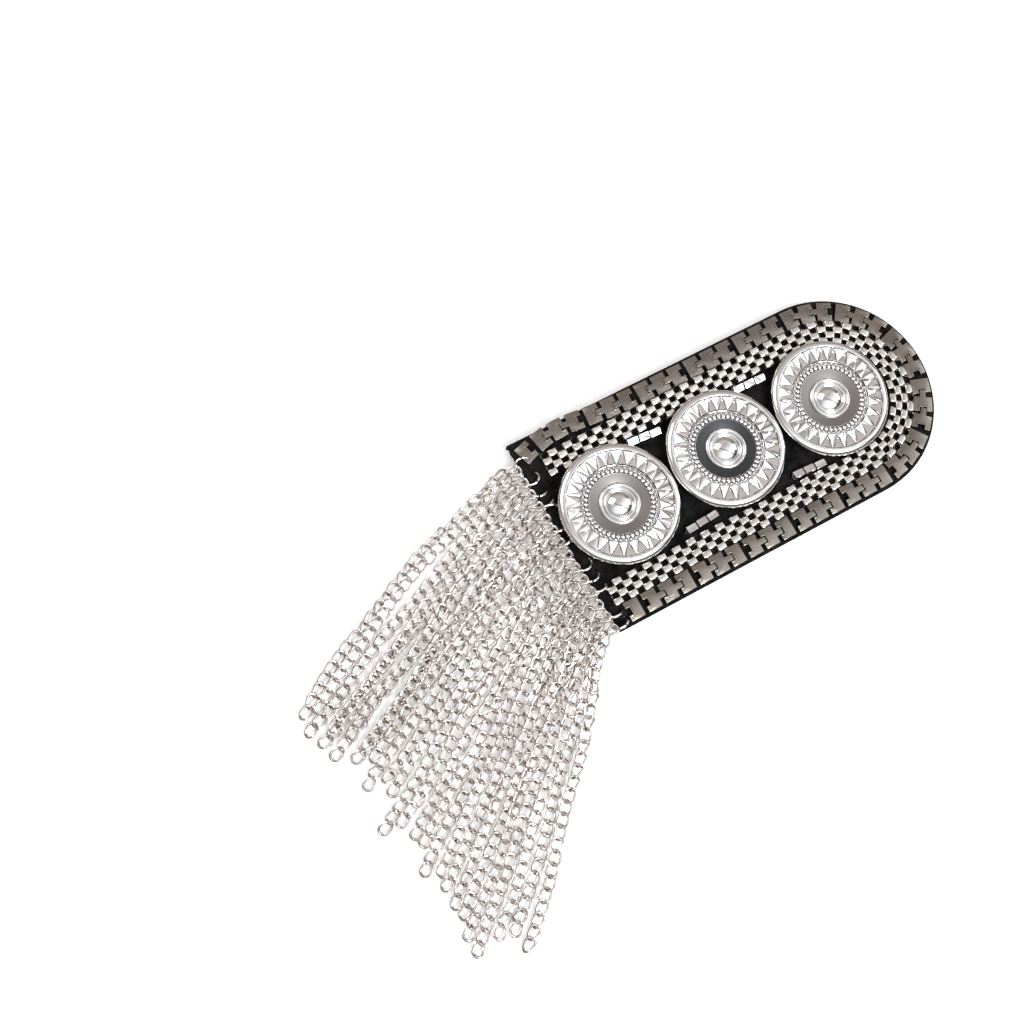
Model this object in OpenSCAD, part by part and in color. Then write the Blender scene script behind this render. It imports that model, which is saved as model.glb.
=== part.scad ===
/* [Discs] */
// Number of round relief discs in the row
disc_count = 3; // [2:1:5]
// Outer diameter of a disc over its rim
disc_diameter = 30.3; // [28:0.1:34]
// Gap between the rims of neighbouring discs
disc_gap = 0.35; // [0.1:0.05:1]
// How far the rim overhangs the wall below it
rim_overhang = 1.9; // [1.5:0.1:2.2]
// Thickness of the round rim
rim_thick = 1.76; // [1.4:0.02:2]
// Height of the plain wall under the rim
wall_height = 2.3; // [2.3:0.1:3]
// Height of the knurled edge between wall and rim
knurl_height = 0.7; // [0.4:0.1:1]
// Diameter of the flat ring's outer edge, inside the beaded circle
face_diameter = 15.2; // [13:0.2:16]
// Diameter of the polished dome in the middle
dome_diameter = 6.6; // [5:0.2:8]
// Height of the dome above the flat ring
dome_height = 1.3; // [0.6:0.1:1.6]
// Number of rays in the sunburst
ray_count = 25; // [16:1:32]
// Height of the rays above their floor
ray_height = 0.6; // [0.3:0.05:0.8]
// Number of grains in the beaded circle
grain_count = 44; // [30:1:48]
// Height of the grains above the flat ring
grain_height = 0.4; // [0.2:0.05:0.6]

/* [Mesh band] */
// Rows of squares across the woven mesh
mesh_rows = 4; // [3:1:5]
// Height of one row of squares
mesh_row = 1.48; // [1.2:0.02:1.8]
// Number of squares along the mesh
mesh_columns = 98; // [80:2:110]
// Width of the metal left at the corners of the holes
mesh_wire = 0.36; // [0.25:0.01:0.5]
// Thickness of the mesh
mesh_thick = 1.2; // [0.8:0.1:1.6]
// Gap between a disc's wall and the mesh, beside the row of discs
mesh_clearance = 1.4; // [1:0.05:2]
// Distance from the last disc's rim to the mesh at the round end
end_margin = 1.8; // [0:0.05:4]
// Distance from the chain edge's front corner to the start of the mesh
mesh_start_inset = 5.7; // [4:0.1:9]
// Distance from the chain edge's rear corner to the end of the mesh
mesh_end_inset = 1.8; // [1:0.1:6]

/* [Plate band] */
// Number of plates round the border
plate_count = 47; // [40:1:52]
// Plates linked in one group
plate_group = 3; // [2:1:6]
// Width of the plates across the band
plate_width = 4.9; // [4:0.1:6]
// Thickness of the plates
plate_thick = 0.9; // [0.5:0.1:1.4]
// Gap between neighbouring plates
plate_gap = 1.05; // [0.9:0.05:1.4]
// Width of the neck that joins a plate to the one before it
neck_width = 1.5; // [1:0.1:1.8]
// Length of the neck inside its neighbour's notch
neck_reach = 0.9; // [0.5:0.1:1.2]
// Gap all round a neck in its notch
neck_clearance = 0.2; // [0.15:0.05:0.3]
// Gap between the plates and the mesh
band_gap = 0.25; // [0.2:0.05:1]
// Distance from the chain edge's front corner to the first plate
plate_start_inset = 0.9; // [0.8:0.05:3]
// Distance from the chain edge's rear corner to the last plate
plate_end_inset = 2.8; // [0.3:0.1:4]

/* [Backing pad] */
// Thickness of the felt
pad_thick = 1.6; // [1:0.1:2]
// Felt that shows outside the plates
pad_margin = 0.75; // [0.5:0.05:3]
// Felt between the first disc's rim and the chain edge
edge_margin = 0.4; // [0.3:0.05:4]
// How far the chain edge's front corner stands ahead of its rear corner
edge_slant = 2.2; // [0:0.1:5]
// Height that everything on the felt lies above it
seat_gap = 0.05; // [0.02:0.01:0.1]

/* [Box beads] */
// Length of a box bead
bead_length = 2.75; // [2:0.05:3]
// Width and height of a box bead
bead_width = 1.75; // [1.4:0.05:1.9]
// Gap between the beads in a row
bead_gap = 0.35; // [0.15:0.05:0.5]
// Number of beads in a row
bead_count = 3; // [2:1:3]
// Bore of a bead
bead_bore = 0.9; // [0.7:0.05:1.1]
// Diameter of the thread that holds the beads
thread_diameter = 0.5; // [0.3:0.05:0.6]
// Gap between the beads and the mesh
bead_margin = 0.45; // [0.3:0.05:0.7]

/* [Jump rings] */
// Number of jump rings through the chain edge
ring_count = 14; // [8:1:14]
// Mean diameter of a jump ring
ring_diameter = 3.5; // [3.3:0.1:3.6]
// Diameter of the ring's wire
ring_wire = 0.56; // [0.4:0.02:0.6]
// How far a ring leans over from upright, in degrees
ring_lean = 32; // [0:1:33]
// Diameter of the hole that a ring passes through
ring_hole = 2.15; // [2.1:0.05:2.4]

/* [Chain fringe] */
// Width of a chain strand
strand_width = 2.2; // [1.6:0.1:2.3]
// Thickness of a chain strand
strand_thick = 1.3; // [1:0.05:1.4]
// Gap between the lower and the upper strands
layer_gap = 0.15; // [0.12:0.01:0.4]
// Gap between a jump ring and the strands that it holds
strand_gap = 0.25; // [0.2:0.05:0.5]

/* [Pin bar] */
// Length of the pin bar, across the pad
pin_length = 38; // [25:1:45]
// Width of the pin bar
pin_width = 5; // [4:0.2:8]
// Height of the pin bar under the felt
pin_height = 2.35; // [2.2:0.05:4]
// Thickness of the strip against the felt
strip_thick = 0.7; // [0.5:0.05:0.9]
// Length of the foot at each end of the strip
foot_length = 4.5; // [3:0.1:8]
// Diameter of the needle between the feet
needle_diameter = 0.9; // [0.7:0.05:1]

/* [Hidden] */
$fn = 48;

// Levels, from the surface that the epaulette lies on
pad_z = pin_height + seat_gap;
pad_top = pad_z + pad_thick;
seat_z = pad_top + seat_gap;

// Discs: their wall, rim and place in the row
rim_radius = disc_diameter / 2;
wall_radius = rim_radius - rim_overhang;
knurl_radius = rim_radius - rim_thick / 6;
disc_pitch = disc_diameter + disc_gap;
rim_centre = rim_radius - rim_thick / 2;
ray_outer = rim_radius - rim_thick - 0.1;
grain_radius = face_diameter / 2 + 0.85;
ray_inner = face_diameter / 2 + 2.2;
ray_floor = wall_height + knurl_height + 0.1;
face_level = ray_floor + 0.3;
rim_level = wall_height + knurl_height + rim_thick / 3;
// How far each disc sits off the pad's middle line, as shares of its diameter
disc_offsets = [0.02, 0.025, 0.003];

// Bands: their distances from the middle line of the pad
mesh_width = mesh_rows * mesh_row;
mesh_inner = wall_radius + mesh_clearance;
mesh_middle = mesh_inner + mesh_width / 2;
plate_middle = mesh_inner + mesh_width + band_gap + plate_width / 2;
pad_half = plate_middle + plate_width / 2 + pad_margin;

// Pad: straight chain edge towards -X, round end towards +X
pad_length = edge_margin + disc_diameter + (disc_count - 1) * disc_pitch + end_margin + pad_half - mesh_inner;
last_disc = pad_length / 2 - pad_half + mesh_inner - end_margin - rim_radius;
edge_x = -pad_length / 2;
round_x = pad_length / 2 - pad_half;
front_corner = edge_x - edge_slant / 2;
rear_corner = edge_x + edge_slant / 2;

function disc_x(i) = last_disc - (disc_count - 1 - i) * disc_pitch;
function edge_at(y) = edge_x - edge_slant / 2 * y / pad_half;

// A band runs along the front side, round the end and back along the rear side.
// band_length is its whole length at the distance r from the middle line, and
// band_place gives [x, y, heading] at the distance s along it.
function band_length(r, start_x, end_x) = 2 * round_x - start_x - end_x + PI * r;
function band_place(r, start_x, s) =
    let (straight = round_x - start_x, bend = PI * r)
    s < straight ? [start_x + s, r, 0]
    : s < straight + bend
        ? let (a = 90 - (s - straight) / r * 180 / PI) [round_x + r * cos(a), r * sin(a), a - 90]
        : [round_x - (s - straight - bend), -r, 180];

plate_start = front_corner + plate_start_inset;
plate_end = rear_corner + plate_end_inset;
plate_pitch = band_length(plate_middle, plate_start, plate_end) / plate_count;
plate_body = plate_pitch - plate_gap;
// How far the plates sway out from their line near the front corner: shares of the
// straight side's length, and of a plate's width
plate_sway = [[0, -0.28], [0.06, 0.02], [0.12, 0.24], [0.17, 0.28], [0.22, 0.2], [0.28, 0.1], [0.4, 0], [9, 0]];
function plate_joint(s) =
    let (
        place = band_place(plate_middle, plate_start, s),
        sway = plate_width * lookup(s / (round_x - plate_start), plate_sway)
    )
    [place[0] - sway * sin(place[2]), place[1] + sway * cos(place[2])];
// Middle and heading of one plate, which reaches from joint to joint
function plate_middle_of(k) = (plate_joint(k * plate_pitch) + plate_joint((k + 1) * plate_pitch)) / 2;
function plate_heading(k) =
    let (run = plate_joint((k + 1) * plate_pitch) - plate_joint(k * plate_pitch)) atan2(run[1], run[0]);
mesh_start = front_corner + mesh_start_inset;
mesh_end = rear_corner + mesh_end_inset;
mesh_pitch = band_length(mesh_middle, mesh_start, mesh_end) / mesh_columns;

// Bead rows: which gap between discs, which side, shift along in bead lengths, shift
// away from the mesh in bead widths, turn and roll in degrees
bead_rows = [
    [0, 1, -0.3, 0, -4, 20],
    [1, 1, -0.2, 0, -2, 20],
    [0, -1, 0.4, 0.4, 4, 8],
    [1, -1, 0.6, 0, -3, 8]
];

// Jump rings: the first stands by the front corner, the rest are evenly spaced
ring_radius = ring_diameter / 2;
first_ring = 0.76;
second_ring = 0.64;
last_ring = -0.93;
function ring_y(k) =
    pad_half * (k == 0 ? first_ring : second_ring + (last_ring - second_ring) * (k - 1) / (ring_count - 2));
// The hole lies where the ring's wire passes through the felt
hole_inset = 0.9 * ring_radius;

// Chain strands, front to rear, two to a ring: where the strand ends, counted from
// the middle of the chain edge, how far it bows forwards, and 1 if its end lies on top
strand_ends = [
    [-76, -10, 3.3, 0], [-72.5, -10.7, 3, 1],
    [-76.8, -13.9, 0.5, 0], [-71.5, -15.9, 0, 1],
    [-75.2, -17.7, 0, 0], [-68.8, -19.5, 0, 1],
    [-74.3, -21.1, 0, 0], [-66.5, -23.1, 0, 1],
    [-70, -24.5, 0, 0], [-61, -23.5, 0, 1],
    [-66.6, -25.9, 0, 0], [-70.6, -31.1, 0, 0],
    [-66, -31.9, 0, 0], [-66.2, -35.1, 0, 0],
    [-72, -41.9, 0, 0], [-67.4, -42.7, 0, 0],
    [-66.2, -46.1, 0, 0], [-65, -48.8, 0, 0],
    [-68, -54.7, 0, 0], [-64.8, -56.3, 0, 0],
    [-65, -60.3, 0, 0], [-65.4, -64.3, 0, 0],
    [-64.4, -67.7, 0, 0], [-65.6, -72.3, 0, 0],
    [-65.6, -76.3, 0, 0], [-59.6, -75.3, -0.3, 0],
    [-55.8, -76.7, -0.4, 0], [-55, -81.1, -1, 0]
];
// Places along a strand where its section is drawn, as shares of its length
strand_steps = [0, 0.04, 0.12, 0.3, 0.5, 0.7, 0.86, 1];
// Shares of its length between which an upper strand comes down
drop_start = 0.7;
drop_end = 1;
strand_sides = 8;
strand_rise = strand_thick + layer_gap;
strand_spread = 0.75;

// Level of a strand's middle: it leaves its ring beside the felt and comes down to the
// floor, and an upper strand stays on its neighbours until they are wide enough apart
function strand_level(step, upper, on_top) =
    strand_thick / 2
    + (pad_z + pad_thick / 2 - strand_rise) * pow(1 - min(step / 0.12, 1), 2)
    + strand_rise * (upper ? (on_top || step <= drop_start ? 1 : step < drop_end ? 0.5 : 0) : 0);

function strand_point(i, step) =
    let (
        row = strand_ends[i],
        upper = i % 2,
        ring = ring_y(floor(i / 2)),
        start_y = ring + (upper ? -strand_spread : strand_spread),
        start = [
            edge_at(ring) - ring_radius - ring_wire / 2 - strand_gap - strand_width / 2,
            start_y
        ],
        end = [edge_x + row[0], row[1]],
        run = end - start,
        side = [run[1], -run[0]] / norm(run),
        flat = start + run * step + side * row[2] * 4 * step * (1 - step)
    )
    [flat[0], flat[1], strand_level(step, upper == 1, row[3] == 1)];

// Corners of the strand's flattened section at one step, square to its run
function strand_section(i, step) =
    let (
        centre = strand_point(i, step),
        ahead = strand_point(i, min(step + 0.01, 1)),
        behind = strand_point(i, max(step - 0.01, 0)),
        run = [ahead[0] - behind[0], ahead[1] - behind[1]],
        side = [-run[1], run[0], 0] / norm(run)
    )
    [for (k = [0 : strand_sides - 1])
        let (a = 360 * (k + 0.5) / strand_sides, r = cos(180 / strand_sides))
        centre + side * strand_width / 2 * cos(a) / r + [0, 0, strand_thick / 2 * sin(a) / r]];

module strand(i) {
    points = [for (step = strand_steps) each strand_section(i, step)];
    last = (len(strand_steps) - 1) * strand_sides;
    walls = [for (j = [0 : len(strand_steps) - 2]) for (k = [0 : strand_sides - 1])
        let (a = j * strand_sides + k, b = j * strand_sides + (k + 1) % strand_sides)
        each [[a, b, b + strand_sides], [a, b + strand_sides, a + strand_sides]]];
    front_cap = [for (k = [strand_sides - 1 : -1 : 0]) k];
    back_cap = [for (k = [0 : strand_sides - 1]) last + k];
    polyhedron(points = points, faces = concat(walls, [front_cap, back_cap]), convexity = 4);
}

module lower_fringe() {
    color("silver")
        for (i = [0 : 2 : min(2 * ring_count, len(strand_ends)) - 1]) strand(i);
}

module upper_fringe() {
    color("gainsboro")
        for (i = [1 : 2 : min(2 * ring_count, len(strand_ends)) - 1]) strand(i);
}

// Outline of the felt: a slanted chain edge, two straight sides and a round end
module pad_outline() {
    beyond = round_x + pad_half + 1;
    difference() {
        polygon([[front_corner, pad_half], [beyond, pad_half], [beyond, -pad_half], [rear_corner, -pad_half]]);
        difference() {
            translate([round_x, -pad_half - 1]) square([pad_half + 2, 2 * pad_half + 2]);
            translate([round_x, 0]) circle(r = pad_half);
        }
    }
}

module backing_pad() {
    color([0.06, 0.06, 0.07])
        translate([0, 0, pad_z]) linear_extrude(pad_thick) difference() {
            pad_outline();
            for (k = [0 : ring_count - 1])
                translate([edge_at(ring_y(k)) + hole_inset, ring_y(k)]) circle(d = ring_hole);
        }
}

// One plate: its neck reaches back into the notch of the plate before it, which is
// turned by bend
module plate(neck, bend) {
    half = plate_width / 2;
    tip_x = -plate_pitch / 2;
    neck_half = neck_width / 2;
    notch_half = neck_half + neck_clearance;
    floor_x = plate_body / 2 - neck_reach - neck_clearance;
    reach = plate_gap / 2 + neck_reach;
    along = [cos(bend), sin(bend)];
    across = [-sin(bend), cos(bend)] * neck_half;
    mitre = (across + [0, neck_half]) / (1 + cos(bend));
    joint = [tip_x, 0];
    linear_extrude(plate_thick) polygon(concat(
        [
            [-plate_body / 2, half], [plate_body / 2, half], [plate_body / 2, notch_half],
            [floor_x, notch_half], [floor_x, -notch_half], [plate_body / 2, -notch_half],
            [plate_body / 2, -half], [-plate_body / 2, -half]
        ],
        !neck ? [] : [
            [-plate_body / 2, -neck_half], joint - mitre, joint - across - reach * along,
            joint + across - reach * along, joint + mitre, [-plate_body / 2, neck_half]
        ]
    ));
}

// Plates first to last of the band, in linked groups after the single first plate
module plates(first, last) {
    for (k = [first : last]) {
        middle = plate_middle_of(k);
        heading = plate_heading(k);
        translate([middle[0], middle[1], seat_z]) rotate([0, 0, heading])
            plate(neck = k > 1 && (k - 1) % plate_group != 0, bend = plate_heading(k - 1) - heading);
    }
}

module front_plates() {
    color("lightslategray") plates(0, floor(plate_count / 2) - 1);
}

module rear_plates() {
    color("slategray") plates(floor(plate_count / 2), plate_count - 1);
}

// Strip of the given width about the mesh's middle line
module band_strip(r, width) {
    difference() {
        union() {
            translate([mesh_start, r - width / 2]) square([round_x - mesh_start, width]);
            translate([mesh_end, -r - width / 2]) square([round_x - mesh_end, width]);
            intersection() {
                translate([round_x, 0]) circle(r = r + width / 2);
                translate([round_x, -2 * r]) square([2 * r, 4 * r]);
            }
        }
        translate([round_x, 0]) circle(r = r - width / 2);
    }
}

// Woven mesh: holes and squares take turns, and the outer holes open into the edges
module mesh_band() {
    hole = [mesh_pitch - mesh_wire, mesh_row - mesh_wire];
    color("whitesmoke") translate([0, 0, seat_z]) linear_extrude(mesh_thick) difference() {
        band_strip(mesh_middle, mesh_width);
        for (i = [0 : mesh_columns - 1]) for (j = [0 : mesh_rows - 1]) if ((i + j) % 2 == 1) {
            place = band_place(mesh_middle, mesh_start, (i + 0.5) * mesh_pitch);
            across = (j - (mesh_rows - 1) / 2) * mesh_row;
            open = j == 0 ? -mesh_wire : j == mesh_rows - 1 ? mesh_wire : 0;
            translate([place[0], place[1]]) rotate(place[2])
                translate([0, across + open]) square(hole, center = true);
        }
    }
}

// Turned body of a disc: wall, knurled edge, rim, sunburst floor, flat ring and dome
module disc_body() {
    ring_outer = face_diameter / 2 - 2.4;
    dome_radius = dome_diameter / 2;
    ball = (dome_radius * dome_radius + dome_height * dome_height) / (2 * dome_height);
    rotate_extrude() {
        polygon([
            [0, 0], [wall_radius, 0], [wall_radius, wall_height], [knurl_radius, wall_height],
            [knurl_radius, rim_level], [rim_centre, rim_level], [rim_centre, ray_floor],
            [grain_radius + 0.75, ray_floor], [grain_radius + 0.75, face_level], [0, face_level]
        ]);
        translate([rim_centre, rim_level]) circle(d = rim_thick);
        translate([ring_outer - 0.45, face_level]) circle(r = 0.45);
        translate([dome_radius + 0.4, face_level + 0.1]) circle(r = 0.36);
        intersection() {
            translate([0, face_level + dome_height - ball]) circle(r = ball, $fn = 96);
            translate([0, face_level - 0.2]) square([dome_radius, dome_height + 1]);
        }
    }
}

// One ray of the sunburst: a wedge that is broad and high at its inner end
module ray() {
    inner = ray_inner + 0.1;
    outer = ray_outer - 0.3;
    half = inner * sin(180 / ray_count) * 0.86;
    sunk = -0.25;
    low = 0.12;
    polyhedron(
        points = [
            [inner, -half, sunk], [outer, 0, sunk], [inner, half, sunk],
            [inner, -half, ray_height], [outer, 0, low], [inner, half, ray_height]
        ],
        faces = [[0, 1, 2], [5, 4, 3], [0, 3, 4, 1], [1, 4, 5, 2], [2, 5, 3, 0]]
    );
}

module disc(i) {
    color("gainsboro")
        translate([disc_x(i), disc_offsets[i % len(disc_offsets)] * disc_diameter, seat_z]) {
            disc_body();
            for (k = [0 : ray_count - 1]) rotate([0, 0, 360 * k / ray_count]) translate([0, 0, ray_floor]) ray();
            for (k = [0 : grain_count - 1]) rotate([0, 0, 360 * k / grain_count])
                translate([grain_radius, 0, face_level - 0.2])
                    cylinder(d = 2 * grain_radius * sin(180 / grain_count) * 0.88, h = grain_height + 0.2, $fn = 8);
        }
}

module disc_1() { disc(0); }
module disc_2() { disc(1); }
module disc_3() { disc(2); }

bead_step = bead_length + bead_gap;
function bead_lift(roll) = bead_width / 2 * (cos(roll) + sin(roll));

// Puts its children at the middle of a bead row, with the row along X
module at_bead_row(row) {
    x = (disc_x(row[0]) + disc_x(row[0] + 1)) / 2 + row[2] * bead_length;
    y = row[1] * (mesh_inner - bead_margin - bead_lift(row[5]) - row[3] * bead_width);
    translate([x, y, seat_z + bead_lift(row[5])]) rotate([0, 0, row[4]]) children();
}

module bead_row(row) {
    color("silver") at_bead_row(row)
        for (k = [0 : bead_count - 1]) translate([(k - (bead_count - 1) / 2) * bead_step, 0, 0])
            rotate([row[5] * row[1], 0, 0]) difference() {
                cube([bead_length, bead_width, bead_width], center = true);
                rotate([0, 90, 0]) cylinder(d = bead_bore, h = bead_length + 1, center = true);
            }
}

// Thread through a row of beads, with both ends down on the felt
module bead_thread(row) {
    half = bead_count * bead_step / 2 + 0.2;
    drop = bead_lift(row[5]);
    color([0.08, 0.08, 0.09]) at_bead_row(row) {
        rotate([0, 90, 0]) cylinder(d = thread_diameter, h = 2 * half, center = true);
        for (end = [-1, 1]) translate([end * half, 0, 0]) {
            sphere(d = thread_diameter);
            translate([0, 0, -drop]) cylinder(d = thread_diameter, h = drop);
        }
    }
}

module bead_row_1() { bead_row(bead_rows[0]); }
module bead_row_2() { bead_row(bead_rows[1]); }
module bead_row_3() { bead_row(bead_rows[2]); }
module bead_row_4() { bead_row(bead_rows[3]); }
module bead_thread_1() { bead_thread(bead_rows[0]); }
module bead_thread_2() { bead_thread(bead_rows[1]); }
module bead_thread_3() { bead_thread(bead_rows[2]); }
module bead_thread_4() { bead_thread(bead_rows[3]); }

module jump_rings() {
    color("silver") for (k = [0 : ring_count - 1])
        translate([edge_at(ring_y(k)), ring_y(k), pad_z + pad_thick / 2])
            rotate([90 + ring_lean, 0, 0]) rotate_extrude() translate([ring_radius, 0]) circle(d = ring_wire);
}

// Bar pin: a strip against the felt, a foot at each end and a needle between them
module pin_bar() {
    color("darkgray") {
        translate([-pin_width / 2, -pin_length / 2, pin_height - strip_thick])
            cube([pin_width, pin_length, strip_thick]);
        for (side = [-1, 1]) translate([-pin_width / 2, side * (pin_length - foot_length) / 2 - foot_length / 2, 0])
            cube([pin_width, foot_length, pin_height]);
        translate([0, 0, (pin_height - strip_thick) / 2]) rotate([90, 0, 0])
            cylinder(d = needle_diameter, h = pin_length - foot_length, center = true);
    }
}

backing_pad();
front_plates();
rear_plates();
mesh_band();
disc_1();
disc_2();
disc_3();
bead_row_1();
bead_row_2();
bead_row_3();
bead_row_4();
bead_thread_1();
bead_thread_2();
bead_thread_3();
bead_thread_4();
jump_rings();
lower_fringe();
upper_fringe();
pin_bar();
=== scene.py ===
"""Chain fringe epaulette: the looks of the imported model, its light, floor and camera."""

from __future__ import annotations

import logging
import math
import random
from collections.abc import Callable, Iterator, Sequence
from contextlib import contextmanager
from dataclasses import dataclass, field
from enum import Enum

import bmesh
import bpy
from mathutils import Matrix, Vector

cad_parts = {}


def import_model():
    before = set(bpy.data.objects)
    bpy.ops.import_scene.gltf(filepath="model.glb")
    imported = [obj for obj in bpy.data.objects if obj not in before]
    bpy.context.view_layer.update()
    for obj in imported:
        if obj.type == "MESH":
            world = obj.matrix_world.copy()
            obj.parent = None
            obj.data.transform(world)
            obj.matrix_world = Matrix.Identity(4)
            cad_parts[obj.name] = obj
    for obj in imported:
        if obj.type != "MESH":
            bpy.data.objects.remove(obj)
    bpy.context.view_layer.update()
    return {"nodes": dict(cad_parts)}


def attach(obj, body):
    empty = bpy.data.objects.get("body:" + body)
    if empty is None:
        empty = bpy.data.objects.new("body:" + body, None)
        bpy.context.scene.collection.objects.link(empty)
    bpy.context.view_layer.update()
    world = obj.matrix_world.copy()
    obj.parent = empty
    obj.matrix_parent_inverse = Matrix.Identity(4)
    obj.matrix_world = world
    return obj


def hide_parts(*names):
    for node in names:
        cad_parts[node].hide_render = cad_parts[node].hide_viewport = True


LOG = logging.getLogger("epaulette")
MM = 0.001
FULL_TURN = 2 * math.pi
DOUBLES = 0.002
GOLDEN_SHARE = 0.618034

Object = bpy.types.Object
Socket = bpy.types.NodeSocket
Point = tuple[float, float]
Colour = tuple[float, float, float]


# ---------------------------------------------------------------- workshop


def let_go() -> None:
    """Deselects everything, so an operator acts only on what is picked next."""
    for obj in bpy.context.selected_objects:
        obj.select_set(False)
    bpy.context.view_layer.objects.active = None


def hold(*objects: Object) -> None:
    """Selects the given objects and makes the first of them active."""
    let_go()
    for obj in objects:
        obj.select_set(True)
    bpy.context.view_layer.objects.active = objects[0]


@contextmanager
def editing(obj: Object) -> Iterator[None]:
    """Keeps one object in edit mode for the length of a with block."""
    hold(obj)
    bpy.ops.object.mode_set(mode="EDIT")
    try:
        yield
    finally:
        bpy.ops.object.mode_set(mode="OBJECT")


def pick(obj: Object, kind: str, wanted: Callable[[object], bool]) -> int:
    """Selects the vertices, edges or faces of the edited object that a test accepts.

    Args:
        obj: The object in edit mode.
        kind: "verts", "edges" or "faces".
        wanted: The test of one element.

    Returns:
        How many elements were selected.
    """
    mode = {"verts": "VERT", "edges": "EDGE", "faces": "FACE"}[kind]
    bpy.ops.mesh.select_mode(type=mode)
    bpy.ops.mesh.select_all(action="DESELECT")
    shape = bmesh.from_edit_mesh(obj.data)
    count = 0
    for element in getattr(shape, kind):
        if wanted(element):
            element.select_set(True)
            count += 1
    shape.select_flush_mode()
    bmesh.update_edit_mesh(obj.data)
    return count


def named(name: str, scale: Sequence[float] | None = None) -> Object:
    """Names the primitive that was just added, scales it and settles its place in its mesh."""
    obj = bpy.context.active_object
    if scale:
        obj.scale = scale
    obj.name = name
    obj.data.name = name
    settle(obj)
    return obj


def settle(obj: Object) -> None:
    """Moves an object's place, turn and scale into its mesh."""
    hold(obj)
    bpy.ops.object.transform_apply(location=True, rotation=True, scale=True)


def finish_with(obj: Object, kind: str, **values: object) -> None:
    """Adds a modifier with the given values and applies it.

    Args:
        obj: The object to change.
        kind: The modifier's type.
        **values: The modifier's settings.
    """
    hold(obj)
    modifier = obj.modifiers.new(kind.lower(), kind)
    for key, value in values.items():
        setattr(modifier, key, value)
    bpy.ops.object.modifier_apply(modifier=modifier.name)


def bevelled(obj: Object, width: float, segments: int, degrees: float) -> None:
    """Rounds the edges that are sharper than an angle, by a width in millimetres."""
    limit = math.radians(degrees)
    finish_with(
        obj, "BEVEL", width=width * MM, segments=segments, limit_method="ANGLE", angle_limit=limit
    )


def outward(obj: Object) -> None:
    """Merges doubles and turns all faces of an object outwards."""
    with editing(obj):
        bpy.ops.mesh.select_all(action="SELECT")
        bpy.ops.mesh.remove_doubles(threshold=DOUBLES * MM)
        bpy.ops.mesh.normals_make_consistent(inside=False)


def smooth(obj: Object, degrees: float = 35) -> None:
    """Shades an object smooth, apart from edges sharper than the given angle."""
    hold(obj)
    bpy.ops.object.shade_smooth_by_angle(angle=math.radians(degrees))


def joined(name: str, parts: Sequence[Object]) -> Object:
    """Joins objects into the first one, which takes the given name."""
    hold(*parts)
    if len(parts) > 1:
        bpy.ops.object.join()
    obj = bpy.context.view_layer.objects.active
    obj.name = name
    obj.data.name = name
    settle(obj)
    return obj


def stamped(name: str, pattern: Object, places: Sequence[Matrix], keep: bool = False) -> Object:
    """Copies a pattern to each place, each copy with its own mesh, and joins the copies.

    Args:
        name: The joined object's name.
        pattern: The object to copy, settled at the origin.
        places: One matrix for each copy.
        keep: Whether the pattern stays.

    Returns:
        The joined object.
    """
    copies = []
    for index, place in enumerate(places):
        copy = pattern.copy()
        copy.data = pattern.data.copy()
        mark_copy(copy.data, index)
        bpy.context.scene.collection.objects.link(copy)
        copy.matrix_world = place
        copies.append(copy)
    if not keep:
        bpy.data.objects.remove(pattern, do_unlink=True)
    bpy.context.view_layer.update()
    return joined(name, copies)


def mark_copy(mesh: bpy.types.Mesh, index: int) -> None:
    """Stores a number from 0 to 1 on a copy's faces, which its finish varies by."""
    shade = mesh.attributes.get("shade") or mesh.attributes.new("shade", "FLOAT", "POINT")
    value = (index * GOLDEN_SHARE) % 1.0
    shade.data.foreach_set("value", [value] * len(mesh.vertices))


def plan_map(obj: Object, centre: Point, span: float) -> None:
    """Gives a piece a flat UV map whose middle, 0.5 and 0.5, lies at its centre."""
    layer = obj.data.uv_layers.get("plan") or obj.data.uv_layers.new(name="plan")
    for loop in obj.data.loops:
        spot = obj.data.vertices[loop.vertex_index].co
        uv = (0.5 + (spot.x - centre[0]) / span, 0.5 + (spot.y - centre[1]) / span)
        layer.data[loop.index].uv = uv


def sheet_of_cells(name: str, xs: Sequence[float], ys: Sequence[float]) -> Object:
    """Adds a grid whose lines lie at the given places, in metres.

    Args:
        name: The grid's name.
        xs: Places of the lines across X, rising.
        ys: Places of the lines across Y, rising.

    Returns:
        The grid as an object.
    """
    let_go()
    bpy.ops.mesh.primitive_grid_add(x_subdivisions=len(xs) - 1, y_subdivisions=len(ys) - 1, size=2)
    obj = named(name)
    for axis, lines in ((0, xs), (1, ys)):
        steps = len(lines) - 1
        marks = [vertex.co[axis] for vertex in obj.data.vertices]
        for vertex, mark in zip(obj.data.vertices, marks):
            vertex.co[axis] = lines[round((mark + 1) / 2 * steps)]
    return obj


def push_up(height: float) -> None:
    """Extrudes what is selected in edit mode along Z, by a height in metres."""
    bpy.ops.mesh.extrude_region_move(TRANSFORM_OT_translate={"value": (0, 0, height)})


def rise_of(edge: bmesh.types.BMEdge) -> float:
    """How far an edge goes up or down."""
    return abs(edge.verts[0].co.z - edge.verts[1].co.z)


def raised(obj: Object, height: float) -> None:
    """Extrudes a flat piece upwards into a closed solid."""
    with editing(obj):
        bpy.ops.mesh.select_all(action="SELECT")
        push_up(height)
    outward(obj)


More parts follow.
